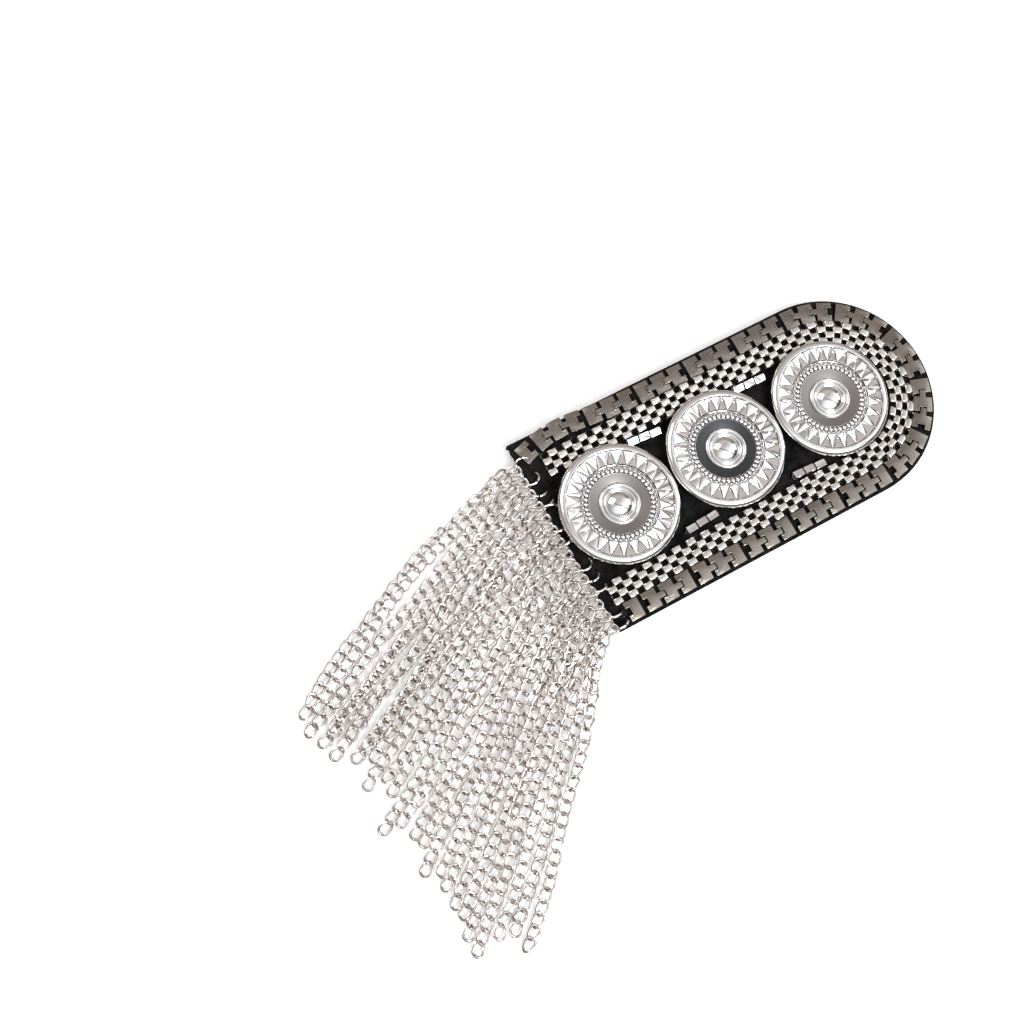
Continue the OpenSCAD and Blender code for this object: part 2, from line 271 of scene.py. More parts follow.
def turned(name: str, profile: Sequence[Point], sides: int) -> Object:
    """Turns a closed round body about Z from rings of radius and level.

    Args:
        name: The body's name.
        profile: Radius and level of each ring, in metres; a last radius of 0 closes it.
        sides: Corners of each ring.

    Returns:
        The body.
    """
    let_go()
    radius, level = profile[0]
    bpy.ops.mesh.primitive_circle_add(vertices=sides, radius=radius, location=(0, 0, level))
    obj = named(name)
    with editing(obj):
        bpy.ops.mesh.select_mode(type="EDGE")
        bpy.ops.mesh.select_all(action="SELECT")
        for next_radius, next_level in profile[1:]:
            push_up(next_level - level)
            if next_radius > 0:
                scale, centre = next_radius / radius, (0, 0, next_level)
                bpy.ops.transform.resize(value=(scale, scale, 1), center_override=centre)
                radius = next_radius
            else:
                bpy.ops.mesh.merge(type="CENTER")
            level = next_level
        pick(obj, "edges", lambda edge: edge.is_boundary)
        bpy.ops.mesh.edge_face_add()
    outward(obj)
    return obj


def arc(centre: Point, radius: float, start: float, end: float, steps: int) -> list[Point]:
    """Points on an arc in a profile, from one angle to another, in degrees."""
    angles = (math.radians(start + (end - start) * step / steps) for step in range(steps + 1))
    return [(centre[0] + radius * math.cos(a), centre[1] + radius * math.sin(a)) for a in angles]


# ---------------------------------------------------------------- plan of the piece


def between(value: float, table: Sequence[Point]) -> float:
    """Reads a table of rising places and values, straight between its lines."""
    if value <= table[0][0]:
        return table[0][1]
    for (low, first), (high, second) in zip(table, table[1:]):
        if value <= high:
            return first + (second - first) * (value - low) / (high - low)
    return table[-1][1]


@dataclass(frozen=True)
class Plan:
    """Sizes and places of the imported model, in millimetres."""

    pad_z: float = 2.4
    pad_top: float = 4.0
    seat_z: float = 4.05
    pad_half: float = 26.47
    pad_length: float = 105.62
    edge_slant: float = 2.2
    disc_x: tuple[float, ...] = (-37.26, -6.61, 24.04)
    disc_y: tuple[float, ...] = (0.606, 0.758, 0.091)
    mesh_inner: float = 14.65
    mesh_middle: float = 17.61
    plate_middle: float = 23.27
    mesh_start: float = -48.21
    mesh_end: float = -49.91
    plate_start: float = -53.01
    plate_end: float = -48.91

    @property
    def pad_middle(self) -> float:
        """Level of the middle of the felt."""
        return (self.pad_z + self.pad_top) / 2

    @property
    def edge_x(self) -> float:
        """Middle of the chain edge."""
        return -self.pad_length / 2

    @property
    def round_x(self) -> float:
        """Centre of the round end."""
        return self.pad_length / 2 - self.pad_half

    def edge_at(self, y: float) -> float:
        """Place of the slanted chain edge at a distance from the middle line."""
        return self.edge_x - self.edge_slant / 2 * y / self.pad_half

    def band_length(self, radius: float, start: float, end: float) -> float:
        """Length of a band along the front side, round the end and back."""
        return 2 * self.round_x - start - end + math.pi * radius

    def band_place(self, radius: float, start: float, along: float) -> tuple[float, float, float]:
        """Place and heading of a point on a band.

        Args:
            radius: Distance of the band from the middle line.
            start: Where the band starts on the front side.
            along: Distance along the band.

        Returns:
            X, Y and the heading in radians.
        """
        straight = self.round_x - start
        bend = math.pi * radius
        if along < straight:
            return start + along, radius, 0.0
        if along < straight + bend:
            angle = math.pi / 2 - (along - straight) / radius
            x, y = radius * math.cos(angle), radius * math.sin(angle)
            return self.round_x + x, y, angle - math.pi / 2
        return self.round_x - (along - straight - bend), -radius, -math.pi


PLAN = Plan()


def spot(x: float, y: float, z: float, heading: float = 0.0) -> Matrix:
    """A place in the frame from millimetres and a heading in radians."""
    return Matrix.Translation((x * MM, y * MM, z * MM)) @ Matrix.Rotation(heading, 4, "Z")


def shaken(chance: random.Random, degrees: float, axis: str) -> Matrix:
    """A random turn about an axis, up to a number of degrees either way."""
    return Matrix.Rotation(math.radians(chance.uniform(-degrees, degrees)), 4, axis)


# ---------------------------------------------------------------- finishes


class Nodes:
    """A small hand for building one node tree."""

    def __init__(self, tree: bpy.types.NodeTree) -> None:
        """Keeps the tree that the nodes go into."""
        self.tree = tree

    def add(self, kind: str, **values: object) -> bpy.types.Node:
        """Adds a node and sets its properties, or its inputs by name.

        Args:
            kind: The node's type.
            **values: Properties, or input names with underscores for blanks.

        Returns:
            The node.
        """
        node = self.tree.nodes.new(kind)
        for key, value in values.items():
            if hasattr(node, key):
                setattr(node, key, value)
            else:
                node.inputs[key.replace("_", " ")].default_value = value
        return node

    def link(self, source: Socket, target: Socket) -> None:
        """Links two sockets."""
        self.tree.links.new(source, target)

    def maths(self, operation: str, *terms: object) -> Socket:
        """Adds a Math node whose terms are sockets or numbers and returns its output."""
        node = self.add("ShaderNodeMath", operation=operation)
        self.fill(node.inputs, terms)
        return node.outputs[0]

    def vectors(self, operation: str, *terms: object) -> Socket:
        """Adds a Vector Math node whose terms are sockets or vectors and returns its output."""
        node = self.add("ShaderNodeVectorMath", operation=operation)
        slots = (node.inputs[0], node.inputs["Scale"]) if operation == "SCALE" else node.inputs
        self.fill(slots, terms)
        return node.outputs["Value" if operation in ("DOT_PRODUCT", "LENGTH") else "Vector"]

    def fill(self, slots: Sequence[Socket], terms: Sequence[object]) -> None:
        """Links or sets input sockets from terms that are sockets or plain values."""
        for slot, term in zip(slots, terms):
            if isinstance(term, Socket):
                self.link(term, slot)
            else:
                slot.default_value = term

    def noise(self, vector: Socket, scale: float, detail: float = 3) -> Socket:
        """Adds a noise texture on the given coordinates and returns its value."""
        node = self.add("ShaderNodeTexNoise", Scale=scale, Detail=detail)
        self.link(vector, node.inputs["Vector"])
        return node.outputs["Fac"]

    def ramp(self, value: Socket, low: float, high: float, first: float, second: float) -> Socket:
        """Maps a value from low and high to first and second, clamped."""
        node = self.add("ShaderNodeMapRange", clamp=True)
        keys = ("Value", "From Min", "From Max", "To Min", "To Max")
        self.fill([node.inputs[key] for key in keys], (value, low, high, first, second))
        return node.outputs["Result"]

    def object_place(self) -> Socket:
        """Adds the Object coordinates."""
        return self.add("ShaderNodeTexCoord").outputs["Object"]

    def bump(self, shader: bpy.types.Node, height: Socket, strength: float, depth: float) -> None:
        """Bumps a shader's surface by a height, as deep as a number of millimetres."""
        node = self.add("ShaderNodeBump", Strength=strength, Distance=depth * MM)
        self.link(height, node.inputs["Height"])
        self.link(node.outputs["Normal"], shader.inputs["Normal"])

    def blend(self, mask: Socket, first: object, second: object) -> Socket:
        """Mixes two colours, each a socket or a colour, by a mask."""
        node = self.add("ShaderNodeMix", data_type="RGBA")
        self.link(mask, node.inputs["Factor"])
        for key, colour in (("A", first), ("B", second)):
            slot = [s for s in node.inputs if s.name == key and s.type == "RGBA"][0]
            self.fill([slot], [colour if isinstance(colour, Socket) else (*colour, 1.0)])
        return [s for s in node.outputs if s.type == "RGBA"][0]


def socket_group(
    name: str, inputs: dict[str, float | None], outputs: Sequence[str]
) -> tuple[Nodes, bpy.types.Node, bpy.types.Node]:
    """Starts a shader node group with named sockets.

    Args:
        name: The group's name.
        inputs: Input names with their value, or None for a vector.
        outputs: Names of the output values.

    Returns:
        The hand for the group's tree, its input node and its output node.
    """
    tree = bpy.data.node_groups.new(name, "ShaderNodeTree")
    for key, value in inputs.items():
        kind = "NodeSocketVector" if value is None else "NodeSocketFloat"
        made = tree.interface.new_socket(name=key, in_out="INPUT", socket_type=kind)
        if value is not None:
            made.default_value = value
    for key in outputs:
        tree.interface.new_socket(name=key, in_out="OUTPUT", socket_type="NodeSocketFloat")
    nodes = Nodes(tree)
    return nodes, nodes.add("NodeGroupInput"), nodes.add("NodeGroupOutput")


def handling_group() -> bpy.types.NodeTree:
    """Fine pits and soft smudges of handled plating: outputs Pits, Smudge and Scratch."""
    nodes, source, target = socket_group(
        "handling", {"Vector": None, "Scale": 1.0}, ("Pits", "Smudge", "Scratch")
    )
    vector = nodes.vectors("SCALE", source.outputs["Vector"], source.outputs["Scale"])
    nodes.link(nodes.noise(vector, 5200, 2), target.inputs["Pits"])
    nodes.link(nodes.ramp(nodes.noise(vector, 260, 4), 0.35, 0.7, 0, 1), target.inputs["Smudge"])
    squeeze = nodes.add("ShaderNodeMapping", Scale=(0.35, 9.0, 9.0), Rotation=(0.0, 0.0, 0.5))
    nodes.link(vector, squeeze.inputs["Vector"])
    streaks = nodes.noise(squeeze.outputs["Vector"], 700, 3)
    nodes.link(nodes.ramp(streaks, 0.58, 0.72, 0, 1), target.inputs["Scratch"])
    return nodes.tree


def recess_group() -> bpy.types.NodeTree:
    """Painted shade with grime in corners, recesses and crossings, and bright wear on edges:
    outputs Recess and Edge.
    """
    nodes, source, target = socket_group("recess", {"Reach": 0.0006}, ("Recess", "Edge"))
    # The Recess mask is painted shade with grime: ambient occlusion darkens where nearby parts shut
    # out light.
    near = nodes.add("ShaderNodeAmbientOcclusion", samples=4, only_local=True)
    nodes.link(source.outputs["Reach"], near.inputs["Distance"])
    nodes.link(nodes.ramp(near.outputs["AO"], 0.35, 0.95, 1, 0), target.inputs["Recess"])
    geometry = nodes.add("ShaderNodeNewGeometry")
    nodes.link(nodes.ramp(geometry.outputs["Pointiness"], 0.52, 0.62, 0, 1), target.inputs["Edge"])
    return nodes.tree


def nap_group() -> bpy.types.NodeTree:
    """Short matted fibres: outputs Fibre and Clump."""
    nodes, source, target = socket_group("nap", {"Vector": None}, ("Fibre", "Clump"))
    vector = source.outputs["Vector"]
    bend = nodes.add("ShaderNodeTexNoise", Scale=900.0, Detail=2.0)
    nodes.link(vector, bend.inputs["Vector"])
    push = nodes.vectors("MULTIPLY_ADD", bend.outputs["Color"], (1.2 * MM,) * 3, vector)
    fibre = nodes.add("ShaderNodeTexWave", Scale=2600.0, Distortion=9.0, Detail=3.0)
    fibre.inputs["Detail Scale"].default_value = 2.0
    nodes.link(push, fibre.inputs["Vector"])
    nodes.link(fibre.outputs["Fac"], target.inputs["Fibre"])
    nodes.link(nodes.ramp(nodes.noise(vector, 420, 4), 0.3, 0.72, 0, 1), target.inputs["Clump"])
    return nodes.tree


class Groups:
    """The shared node groups, each built once."""

    made: dict[str, bpy.types.NodeTree] = {}
    makers: dict[str, Callable[[], bpy.types.NodeTree]] = {
        "handling": handling_group,
        "recess": recess_group,
        "nap": nap_group,
    }

    @classmethod
    def place(cls, nodes: Nodes, name: str) -> bpy.types.Node:
        """Places a shared group in a tree and returns its node."""
        if name not in cls.made:
            cls.made[name] = cls.makers[name]()
        node = nodes.add("ShaderNodeGroup")
        node.node_tree = cls.made[name]
        return node


def new_material(name: str) -> tuple[bpy.types.Material, Nodes, bpy.types.Node]:
    """Makes a material with a bare Principled shader and its output."""
    material = bpy.data.materials.new(name)
    material.use_nodes = True
    material.node_tree.nodes.clear()
    nodes = Nodes(material.node_tree)
    shader = nodes.add("ShaderNodeBsdfPrincipled")
    output = nodes.add("ShaderNodeOutputMaterial")
    nodes.link(shader.outputs["BSDF"], output.inputs["Surface"])
    return material, nodes, shader


@dataclass(frozen=True)
class Plating:
    """Plated metal: its colours, polish and how worn it is."""

    name: str
    bright: Colour
    dull: Colour
    # Colour of grime together with painted shade in recesses and at crossings.
    grime_and_shade: Colour
    polish: float
    spread: float
    pits: float
    reach: float = 0.6
    by_copy: float = 0.0
    scale: float = 1.0
    # How strongly the recess mask paints shade and grime.
    soot_and_shade: float = 1.0
    glancing: Colour = (1.0, 1.0, 1.0)
    edge_wear: float = 0.7
    pit_depth: float = 0.03

    def build(self) -> bpy.types.Material:
        """Builds the plating's material."""
        material, nodes, shader = new_material(self.name)
        handling = Groups.place(nodes, "handling")
        handling.inputs["Scale"].default_value = self.scale
        nodes.link(nodes.object_place(), handling.inputs["Vector"])
        recess = Groups.place(nodes, "recess")
        recess.inputs["Reach"].default_value = self.reach * MM
        tone = handling.outputs["Smudge"]
        if self.by_copy:
            shade = nodes.add("ShaderNodeAttribute", attribute_name="shade").outputs["Fac"]
            smudged = nodes.maths("MULTIPLY", tone, 1 - self.by_copy)
            tone = nodes.maths("MULTIPLY_ADD", shade, self.by_copy, smudged)
        colour = nodes.blend(tone, self.bright, self.dull)
        # Painted shade with grime: recesses and crossings darken toward the grime-and-shade colour.
        soot_and_shade = nodes.maths("MULTIPLY", recess.outputs["Recess"], self.soot_and_shade)
        colour = nodes.blend(soot_and_shade, colour, self.grime_and_shade)
        wear = nodes.maths("MULTIPLY", recess.outputs["Edge"], self.edge_wear)
        colour = nodes.blend(wear, colour, self.bright)
        nodes.link(colour, shader.inputs["Base Color"])
        rough = nodes.maths("MULTIPLY_ADD", handling.outputs["Smudge"], self.spread, self.polish)
        rough = nodes.maths("MULTIPLY_ADD", handling.outputs["Scratch"], self.spread, rough)
        nodes.link(rough, shader.inputs["Roughness"])
        dents = nodes.maths("ADD", handling.outputs["Pits"], handling.outputs["Scratch"])
        nodes.bump(shader, dents, self.pits, self.pit_depth)
        shader.inputs["Metallic"].default_value = 1.0
        shader.inputs["Specular Tint"].default_value = (*self.glancing, 1.0)
        return material


@dataclass(frozen=True)
class DiscPlating:
    """Polished plating of a relief disc, with a satin flat ring between two radii.

    Radii and levels are in millimetres. The flat plan map spans span millimetres, and ground is
    the level under which the grains' bed is painted dark as shade.
    """

    name: str = "relief_plating"
    span: float = 40.0
    satin_inner: float = 5.2
    satin_outer: float = 7.62
    edge: float = 0.03
    ground: float = 7.36
    ground_depth: float = 0.16
    bed_start: float = 7.7
    bed_end: Point = (8.7, 9.1)
    bright: Colour = (0.95, 0.935, 0.925)
    dull: Colour = (0.86, 0.85, 0.845)
    # Colour of grime together with painted shade in the relief's recesses.
    grime_and_shade: Colour = (0.36, 0.35, 0.345)
    # Painted shade on the low bed between the grains.
    bed_shade: Colour = (0.26, 0.25, 0.245)
    satin: Colour = (0.315, 0.3, 0.29)

    def ring_mask(self, nodes: Nodes, radius: Socket) -> Socket:
        """The flat ring's mask."""
        outer, inner, edge = self.satin_outer, self.satin_inner, self.edge
        inside = nodes.ramp(radius, outer - edge, outer + edge, 1, 0)
        outside = nodes.ramp(radius, inner - edge, inner + edge, 0, 1)
        return nodes.maths("MULTIPLY", inside, outside)

    def bed_shade_mask(self, nodes: Nodes, place: Socket, radius: Socket) -> Socket:
        """The mask of painted shade on the low bed between the grains, fainter further out in the
        sunburst's low ground.
        """
        level = nodes.add("ShaderNodeSeparateXYZ")
        nodes.link(place, level.inputs[0])
        top = (self.ground + self.ground_depth) * MM
        low = nodes.ramp(level.outputs["Z"], self.ground * MM, top, 1, 0)
        start = nodes.ramp(radius, self.satin_outer, self.bed_start, 0, 1)
        grains = nodes.maths("MULTIPLY", start, nodes.ramp(radius, *self.bed_end, 1, 0.35))
        return nodes.maths("MULTIPLY", low, grains)

    def build(self) -> bpy.types.Material:
        """Builds the material from the disc's own plan map."""
        material, nodes, shader = new_material(self.name)
        plan = nodes.add("ShaderNodeUVMap", uv_map="plan").outputs["UV"]
        centred = nodes.add("ShaderNodeMapping", Location=(-0.5, -0.5, 0.0))
        nodes.link(plan, centred.inputs["Vector"])
        distance = nodes.vectors("LENGTH", centred.outputs["Vector"])
        radius = nodes.maths("MULTIPLY", distance, self.span)
        ring = self.ring_mask(nodes, radius)
        place = nodes.object_place()
        handling = Groups.place(nodes, "handling")
        nodes.link(place, handling.inputs["Vector"])
        recess = Groups.place(nodes, "recess")
        recess.inputs["Reach"].default_value = 0.3 * MM
        lines = nodes.add("ShaderNodeTexNoise", noise_dimensions="1D", Scale=9.0, Detail=3.0)
        nodes.link(radius, lines.inputs["W"])
        turned_lines = lines.outputs["Fac"]
        colour = nodes.blend(handling.outputs["Smudge"], self.bright, self.dull)
        # Painted shade with grime in the relief's recesses, by the recess mask.
        soot_and_shade = nodes.maths("MULTIPLY", recess.outputs["Recess"], 0.4)
        colour = nodes.blend(soot_and_shade, colour, self.grime_and_shade)
        # Painted shade where the surface lies low between the grains.
        colour = nodes.blend(self.bed_shade_mask(nodes, place, radius), colour, self.bed_shade)
        satin = nodes.blend(turned_lines, self.satin, tuple(0.8 * part for part in self.satin))
        nodes.link(nodes.blend(ring, colour, satin), shader.inputs["Base Color"])
        polish = nodes.maths("MULTIPLY_ADD", handling.outputs["Smudge"], 0.06, 0.09)
        matt = nodes.maths("MULTIPLY_ADD", turned_lines, 0.08, 0.33)
        rough = nodes.add("ShaderNodeMix", data_type="FLOAT")
        nodes.fill((rough.inputs[0], *rough.inputs[2:4]), (ring, polish, matt))
        nodes.link(rough.outputs[0], shader.inputs["Roughness"])
        height = nodes.maths("MULTIPLY", turned_lines, ring)
        height = nodes.maths("MULTIPLY_ADD", handling.outputs["Pits"], 0.25, height)
        nodes.bump(shader, height, 0.35, 0.03)
        shader.inputs["Metallic"].default_value = 1.0
        return material


@dataclass(frozen=True)
class Felt:
    """Black felt: matted fibres that catch a little light."""

    name: str = "felt_nap"
    deep: Colour = (0.0025, 0.0024, 0.0024)
    lit: Colour = (0.045, 0.042, 0.04)

    def build(self) -> bpy.types.Material:
        """Builds the felt's material."""
        material, nodes, shader = new_material(self.name)
        nap = Groups.place(nodes, "nap")
        nodes.link(nodes.object_place(), nap.inputs["Vector"])
        mask = nodes.maths("MULTIPLY", nap.outputs["Fibre"], nap.outputs["Clump"])
        nodes.link(nodes.blend(mask, self.deep, self.lit), shader.inputs["Base Color"])
        nodes.link(nodes.ramp(nap.outputs["Clump"], 0, 1, 0.82, 0.98), shader.inputs["Roughness"])
        height = nodes.maths("ADD", nap.outputs["Fibre"], nap.outputs["Clump"])
        nodes.bump(shader, height, 0.8, 0.12)
        shader.inputs["Specular IOR Level"].default_value = 0.06
        shader.inputs["Sheen Weight"].default_value = 0.02
        shader.inputs["Sheen Roughness"].default_value = 0.5
        shader.inputs["Sheen Tint"].default_value = (0.6, 0.6, 0.65, 1)
        return material


@dataclass(frozen=True)
class Thread:
    """Black waxed sewing thread."""

    name: str = "black_thread"
    deep: Colour = (0.01, 0.01, 0.011)
    lit: Colour = (0.045, 0.043, 0.045)

    def build(self) -> bpy.types.Material:
        """Builds the thread's material."""
        material, nodes, shader = new_material(self.name)
        fuzz = nodes.noise(nodes.object_place(), 9000, 3)
        nodes.link(nodes.blend(fuzz, self.deep, self.lit), shader.inputs["Base Color"])
        nodes.link(nodes.ramp(fuzz, 0.3, 0.7, 0.5, 0.75), shader.inputs["Roughness"])
        nodes.bump(shader, fuzz, 0.5, 0.05)
        return material


class Finish(Enum):
    """The finishes of the object, by the record's slot."""

    FELT = Felt()
    THREAD = Thread()
    DISC = DiscPlating()
    # The second disc's copy: its flat ring is painted darker, standing in for the darker reflection
    # that ring shows.
    DARK_DISC = DiscPlating("shaded_relief_plating", satin=(0.085, 0.088, 0.094))
    PLATE = Plating(
        "plate_nickel", (0.36, 0.322, 0.283), (0.21, 0.188, 0.163), (0.07, 0.06, 0.05),
        polish=0.2, spread=0.09, pits=0.28, reach=0.5, by_copy=0.5,
    )
    MESH = Plating(
        "mesh_nickel", (0.84, 0.81, 0.77), (0.68, 0.65, 0.61), (0.10, 0.095, 0.09),
        polish=0.14, spread=0.06, pits=0.2, reach=0.45, by_copy=0.5,
    )
    BEAD = Plating(
        "bead_nickel", (0.93, 0.92, 0.91), (0.80, 0.79, 0.78), (0.22, 0.21, 0.20),
        polish=0.10, spread=0.08, pits=0.2, reach=0.4, by_copy=0.3,
    )
    CHAIN = Plating(
        "chain_nickel", (1.0, 0.97, 0.945), (0.64, 0.56, 0.50), (0.14, 0.11, 0.09),
        polish=0.08, spread=0.05, pits=0.12, reach=0.55, by_copy=0.5, scale=3.0, soot_and_shade=0.6,
        glancing=(0.35, 0.28, 0.23),
    )
    RING = Plating(
        "ring_nickel", (0.98, 0.965, 0.95), (0.9, 0.87, 0.84), (0.16, 0.14, 0.12),
        polish=0.1, spread=0.05, pits=0.1, reach=0.4, by_copy=0.3,
    )
    PIN = Plating(
        "pin_nickel", (0.70, 0.70, 0.69), (0.58, 0.58, 0.57), (0.25, 0.24, 0.23),
        polish=0.26, spread=0.12, pits=0.3, reach=1.0,
    )

    def dress(self, obj: Object) -> None:
        """Puts the finish on all faces of an object."""
        material = bpy.data.materials.get(self.value.name) or self.value.build()
        obj.data.materials.clear()
        obj.data.materials.append(material)


def hand_over(obj: Object, slot: str, *nodes: str) -> None:
    """Makes a piece ride on the object and stand for CAD nodes.

    Args:
        obj: The finished piece.
        slot: Not used.
        *nodes: The CAD nodes that it replaces.
    """
    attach(obj, "root")
    if nodes:
        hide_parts(*nodes)
    LOG.info("%s: %d faces", obj.name, len(obj.data.polygons))


# ---------------------------------------------------------------- felt


@dataclass
class JumpRings:
    """The rings through the chain edge.

    The first ring's place and those of the second and the last are shares of the pad's half
    width. Lean and split are in degrees, swing in radians and the rest in millimetres.
    """

    count: int = 14
    radius: float = 2.05
    wire: float = 0.68
    lean: float = 44.0
    lean_spread: float = 14.0
    swing: float = 0.3
    clearance: float = 0.15
    disc_wall: float = 13.25
    inboard: float = 0.8
    rise: float = 0.75
    first: float = 0.76
    second: float = 0.64
    last: float = -0.93
    split: float = 9.0
    slits: Point = (0.2, 2.6)
    hole_reach: float = 0.94
    hole: Point = (0.42, 0.6)
    fallen_back: tuple[int, ...] = (0, 4, 7, 11)

    def place_of(self, index: int) -> float:
        """Distance of one ring from the middle line, in millimetres."""
        if index == 0:
            return PLAN.pad_half * self.first
        share = (index - 1) / (self.count - 2)
        return PLAN.pad_half * (self.second + (self.last - self.second) * share)

    def inboard_at(self, y: float) -> float:
        """How far inside the edge a ring's centre lies, so that it clears the first disc's wall."""
        chord = self.disc_wall**2 - (y - PLAN.disc_y[0]) ** 2
        if chord <= 0:
            return self.inboard
        room = PLAN.disc_x[0] - math.sqrt(chord) - PLAN.edge_at(y)
        return min(self.inboard, room - self.radius - self.wire / 2 - self.clearance)

    def swings(self) -> list[float]:
        """How far each ring is turned in plan, in radians."""
        chance = random.Random(8)
        return [chance.uniform(-self.swing, self.swing) for _ in range(self.count)]

    def holes(self) -> list[Point]:
        """Places of the holes in the felt, in millimetres."""
        spots = []
        for k, swing in enumerate(self.swings()):
            y = self.place_of(k)
            reach = self.inboard_at(y) + self.hole_reach * self.radius
            spots.append((PLAN.edge_at(y) + reach * math.cos(swing), y + reach * math.sin(swing)))
        return spots

    def ring(self) -> Object:
        """One ring of wire with the slit where its ends meet."""
        let_go()
        bpy.ops.mesh.primitive_torus_add(
            major_segments=36,
            minor_segments=8,
            major_radius=self.radius * MM,
            minor_radius=self.wire / 2 * MM,
        )
        ring = named("ring_pattern")
        half = math.radians(self.split) / 2

        def in_split(face: bmesh.types.BMFace) -> bool:
            """Whether a face lies in the slit."""
            middle = face.calc_center_median()
            return abs(math.atan2(middle.y, middle.x) - half) < half

        with editing(ring):
            pick(ring, "faces", in_split)
            bpy.ops.mesh.delete(type="FACE")
            pick(ring, "edges", lambda edge: edge.is_boundary)
            bpy.ops.mesh.edge_face_add()
        outward(ring)
        return ring

    def build(self) -> Object:
        """Builds all rings as one piece."""
        chance = random.Random(11)
        places = []
        for k, swing in enumerate(self.swings()):
            y = self.place_of(k)
            lean = self.lean + chance.uniform(-self.lean_spread, self.lean_spread)
            lean *= -1 if k in self.fallen_back else 1
            turn = Matrix.Rotation(math.radians(90 + lean), 4, "X")
            shift = Matrix.Translation((self.inboard_at(y) * MM, self.rise * MM, 0))
            slit = Matrix.Rotation(chance.uniform(*self.slits), 4, "Z")
            places.append(spot(PLAN.edge_at(y), y, PLAN.pad_middle, swing) @ turn @ shift @ slit)
        rings = stamped("edge_rings", self.ring(), places)
        smooth(rings, 50)
        Finish.RING.dress(rings)
        hand_over(rings, "chain_metal", "jump_rings")
        return rings


@dataclass
class FeltPad:
    """The felt pad with its ring holes and the loose fibres of its cut edge."""

    rings: JumpRings
    corners: int = 128
    thickness: float = 1.6
    rounding: float = 0.22
    fibre_length: float = 0.9
    fibre_radius: float = 0.035
    fibres: int = 620
    fray: Point = (-0.35, 0.25)
    corner: float = 0.99
    chain_edge_share: float = 0.4
    side_share: float = 0.7
    fibre_lean: Point = (0.7, 1.7)
    short: Point = (0.35, 0.8)
    long: Point = (0.5, 1.5)
    edge_width: float = 3.0

    def outline(self) -> Object:
        """The pad's outline: a circle whose chain half is drawn out to the slanted edge."""
        let_go()
        half = PLAN.pad_half
        centre = (PLAN.round_x * MM, 0, PLAN.pad_z * MM)
        bpy.ops.mesh.primitive_circle_add(
            vertices=self.corners, radius=half * MM, fill_type="NGON", location=centre
        )
        pad = named("felt_pad")
        step = math.sin(FULL_TURN / self.corners) * half * MM * 0.5
        chance = random.Random(2)
        for vertex in pad.data.vertices:
            if vertex.co.x < PLAN.round_x * MM - step:
                fray = chance.uniform(*self.fray)
                if abs(vertex.co.y) > self.corner * half * MM:
                    vertex.co.y = math.copysign(half * MM, vertex.co.y)
                    fray = 0.0
                vertex.co.x = (PLAN.edge_at(vertex.co.y / MM) + fray) * MM
        return pad

    def cut_holes(self, pad: Object) -> None:
        """Cuts the ring holes through the pad."""
        let_go()
        bpy.ops.mesh.primitive_cylinder_add(vertices=20, radius=1, depth=8 * MM)
        punch = named("punch", (self.rings.hole[0] * MM, self.rings.hole[1] * MM, 1))
        places = [spot(x, y, PLAN.pad_middle) for x, y in self.rings.holes()]
        punches = stamped("punches", punch, places)
        finish_with(pad, "BOOLEAN", object=punches, operation="DIFFERENCE", solver="EXACT")
        bpy.data.objects.remove(punches, do_unlink=True)

    def build(self) -> Object:
        """Builds the pad."""
        pad = self.outline()
        raised(pad, self.thickness * MM)
        self.cut_holes(pad)
        bevelled(pad, self.rounding, 2, 60)
        smooth(pad, 40)
        Finish.FELT.dress(pad)
        hand_over(pad, "black_felt", "backing_pad")
        fuzz = self.fuzz()
        return pad

    def edge_spots(self, chance: random.Random) -> list[tuple[float, float, float]]:
        """Places on the pad's outline, with the outward heading at each."""
        spots = []
        half, ahead = PLAN.pad_half, PLAN.round_x - PLAN.edge_x
        for _ in range(self.fibres):
            draw = chance.random()
            if draw < self.chain_edge_share:
                y = half * (1 - 2 * chance.random() ** (0.6 if chance.random() < 0.5 else 1))
                spots.append((PLAN.edge_at(y), y, math.pi))
            elif draw < self.side_share:
                side = 1 if chance.random() < 0.5 else -1
                along = PLAN.edge_x + ahead * chance.random()
                spots.append((along, side * half, side * math.pi / 2))
            else:
                angle = chance.uniform(-math.pi / 2, math.pi / 2)
                spots.append((PLAN.round_x + half * math.cos(angle), half * math.sin(angle), angle))
        return spots

    def fuzz(self) -> Object:
        """Loose fibres that stand out of the cut edge, longer at the chain edge."""
        let_go()
        bpy.ops.mesh.primitive_cone_add(
            vertices=3,
            radius1=self.fibre_radius * MM,
            radius2=self.fibre_radius * 0.3 * MM,
            depth=self.fibre_length * MM,
            location=(0, 0, self.fibre_length / 2 * MM),
        )
        fibre = named("fibre")
        with editing(fibre):
            pick(fibre, "edges", lambda edge: rise_of(edge) > 0.3 * MM)
            bpy.ops.mesh.subdivide(number_cuts=3)
        curl = math.radians(70)
        finish_with(fibre, "SIMPLE_DEFORM", deform_method="BEND", angle=curl, deform_axis="X")
        chance = random.Random(5)
        places = []
        for x, y, heading in self.edge_spots(chance):
            level = chance.uniform(PLAN.pad_z + 0.3, PLAN.pad_top - 0.1)
            lean = Matrix.Rotation(chance.uniform(*self.fibre_lean), 4, "Y")
            twist = Matrix.Rotation(chance.uniform(0, FULL_TURN), 4, "Z")
            at_chains = x <= PLAN.edge_x + self.edge_width
            size = chance.uniform(*(self.long if at_chains else self.short))
            swing = heading + chance.uniform(-0.8, 0.8)
            places.append(spot(x, y, level, swing) @ lean @ twist @ Matrix.Scale(size, 4))
        fuzz = stamped("felt_fuzz", fibre, places)
        Finish.FELT.dress(fuzz)
        hand_over(fuzz, "black_felt")
        return fuzz


# ---------------------------------------------------------------- bands


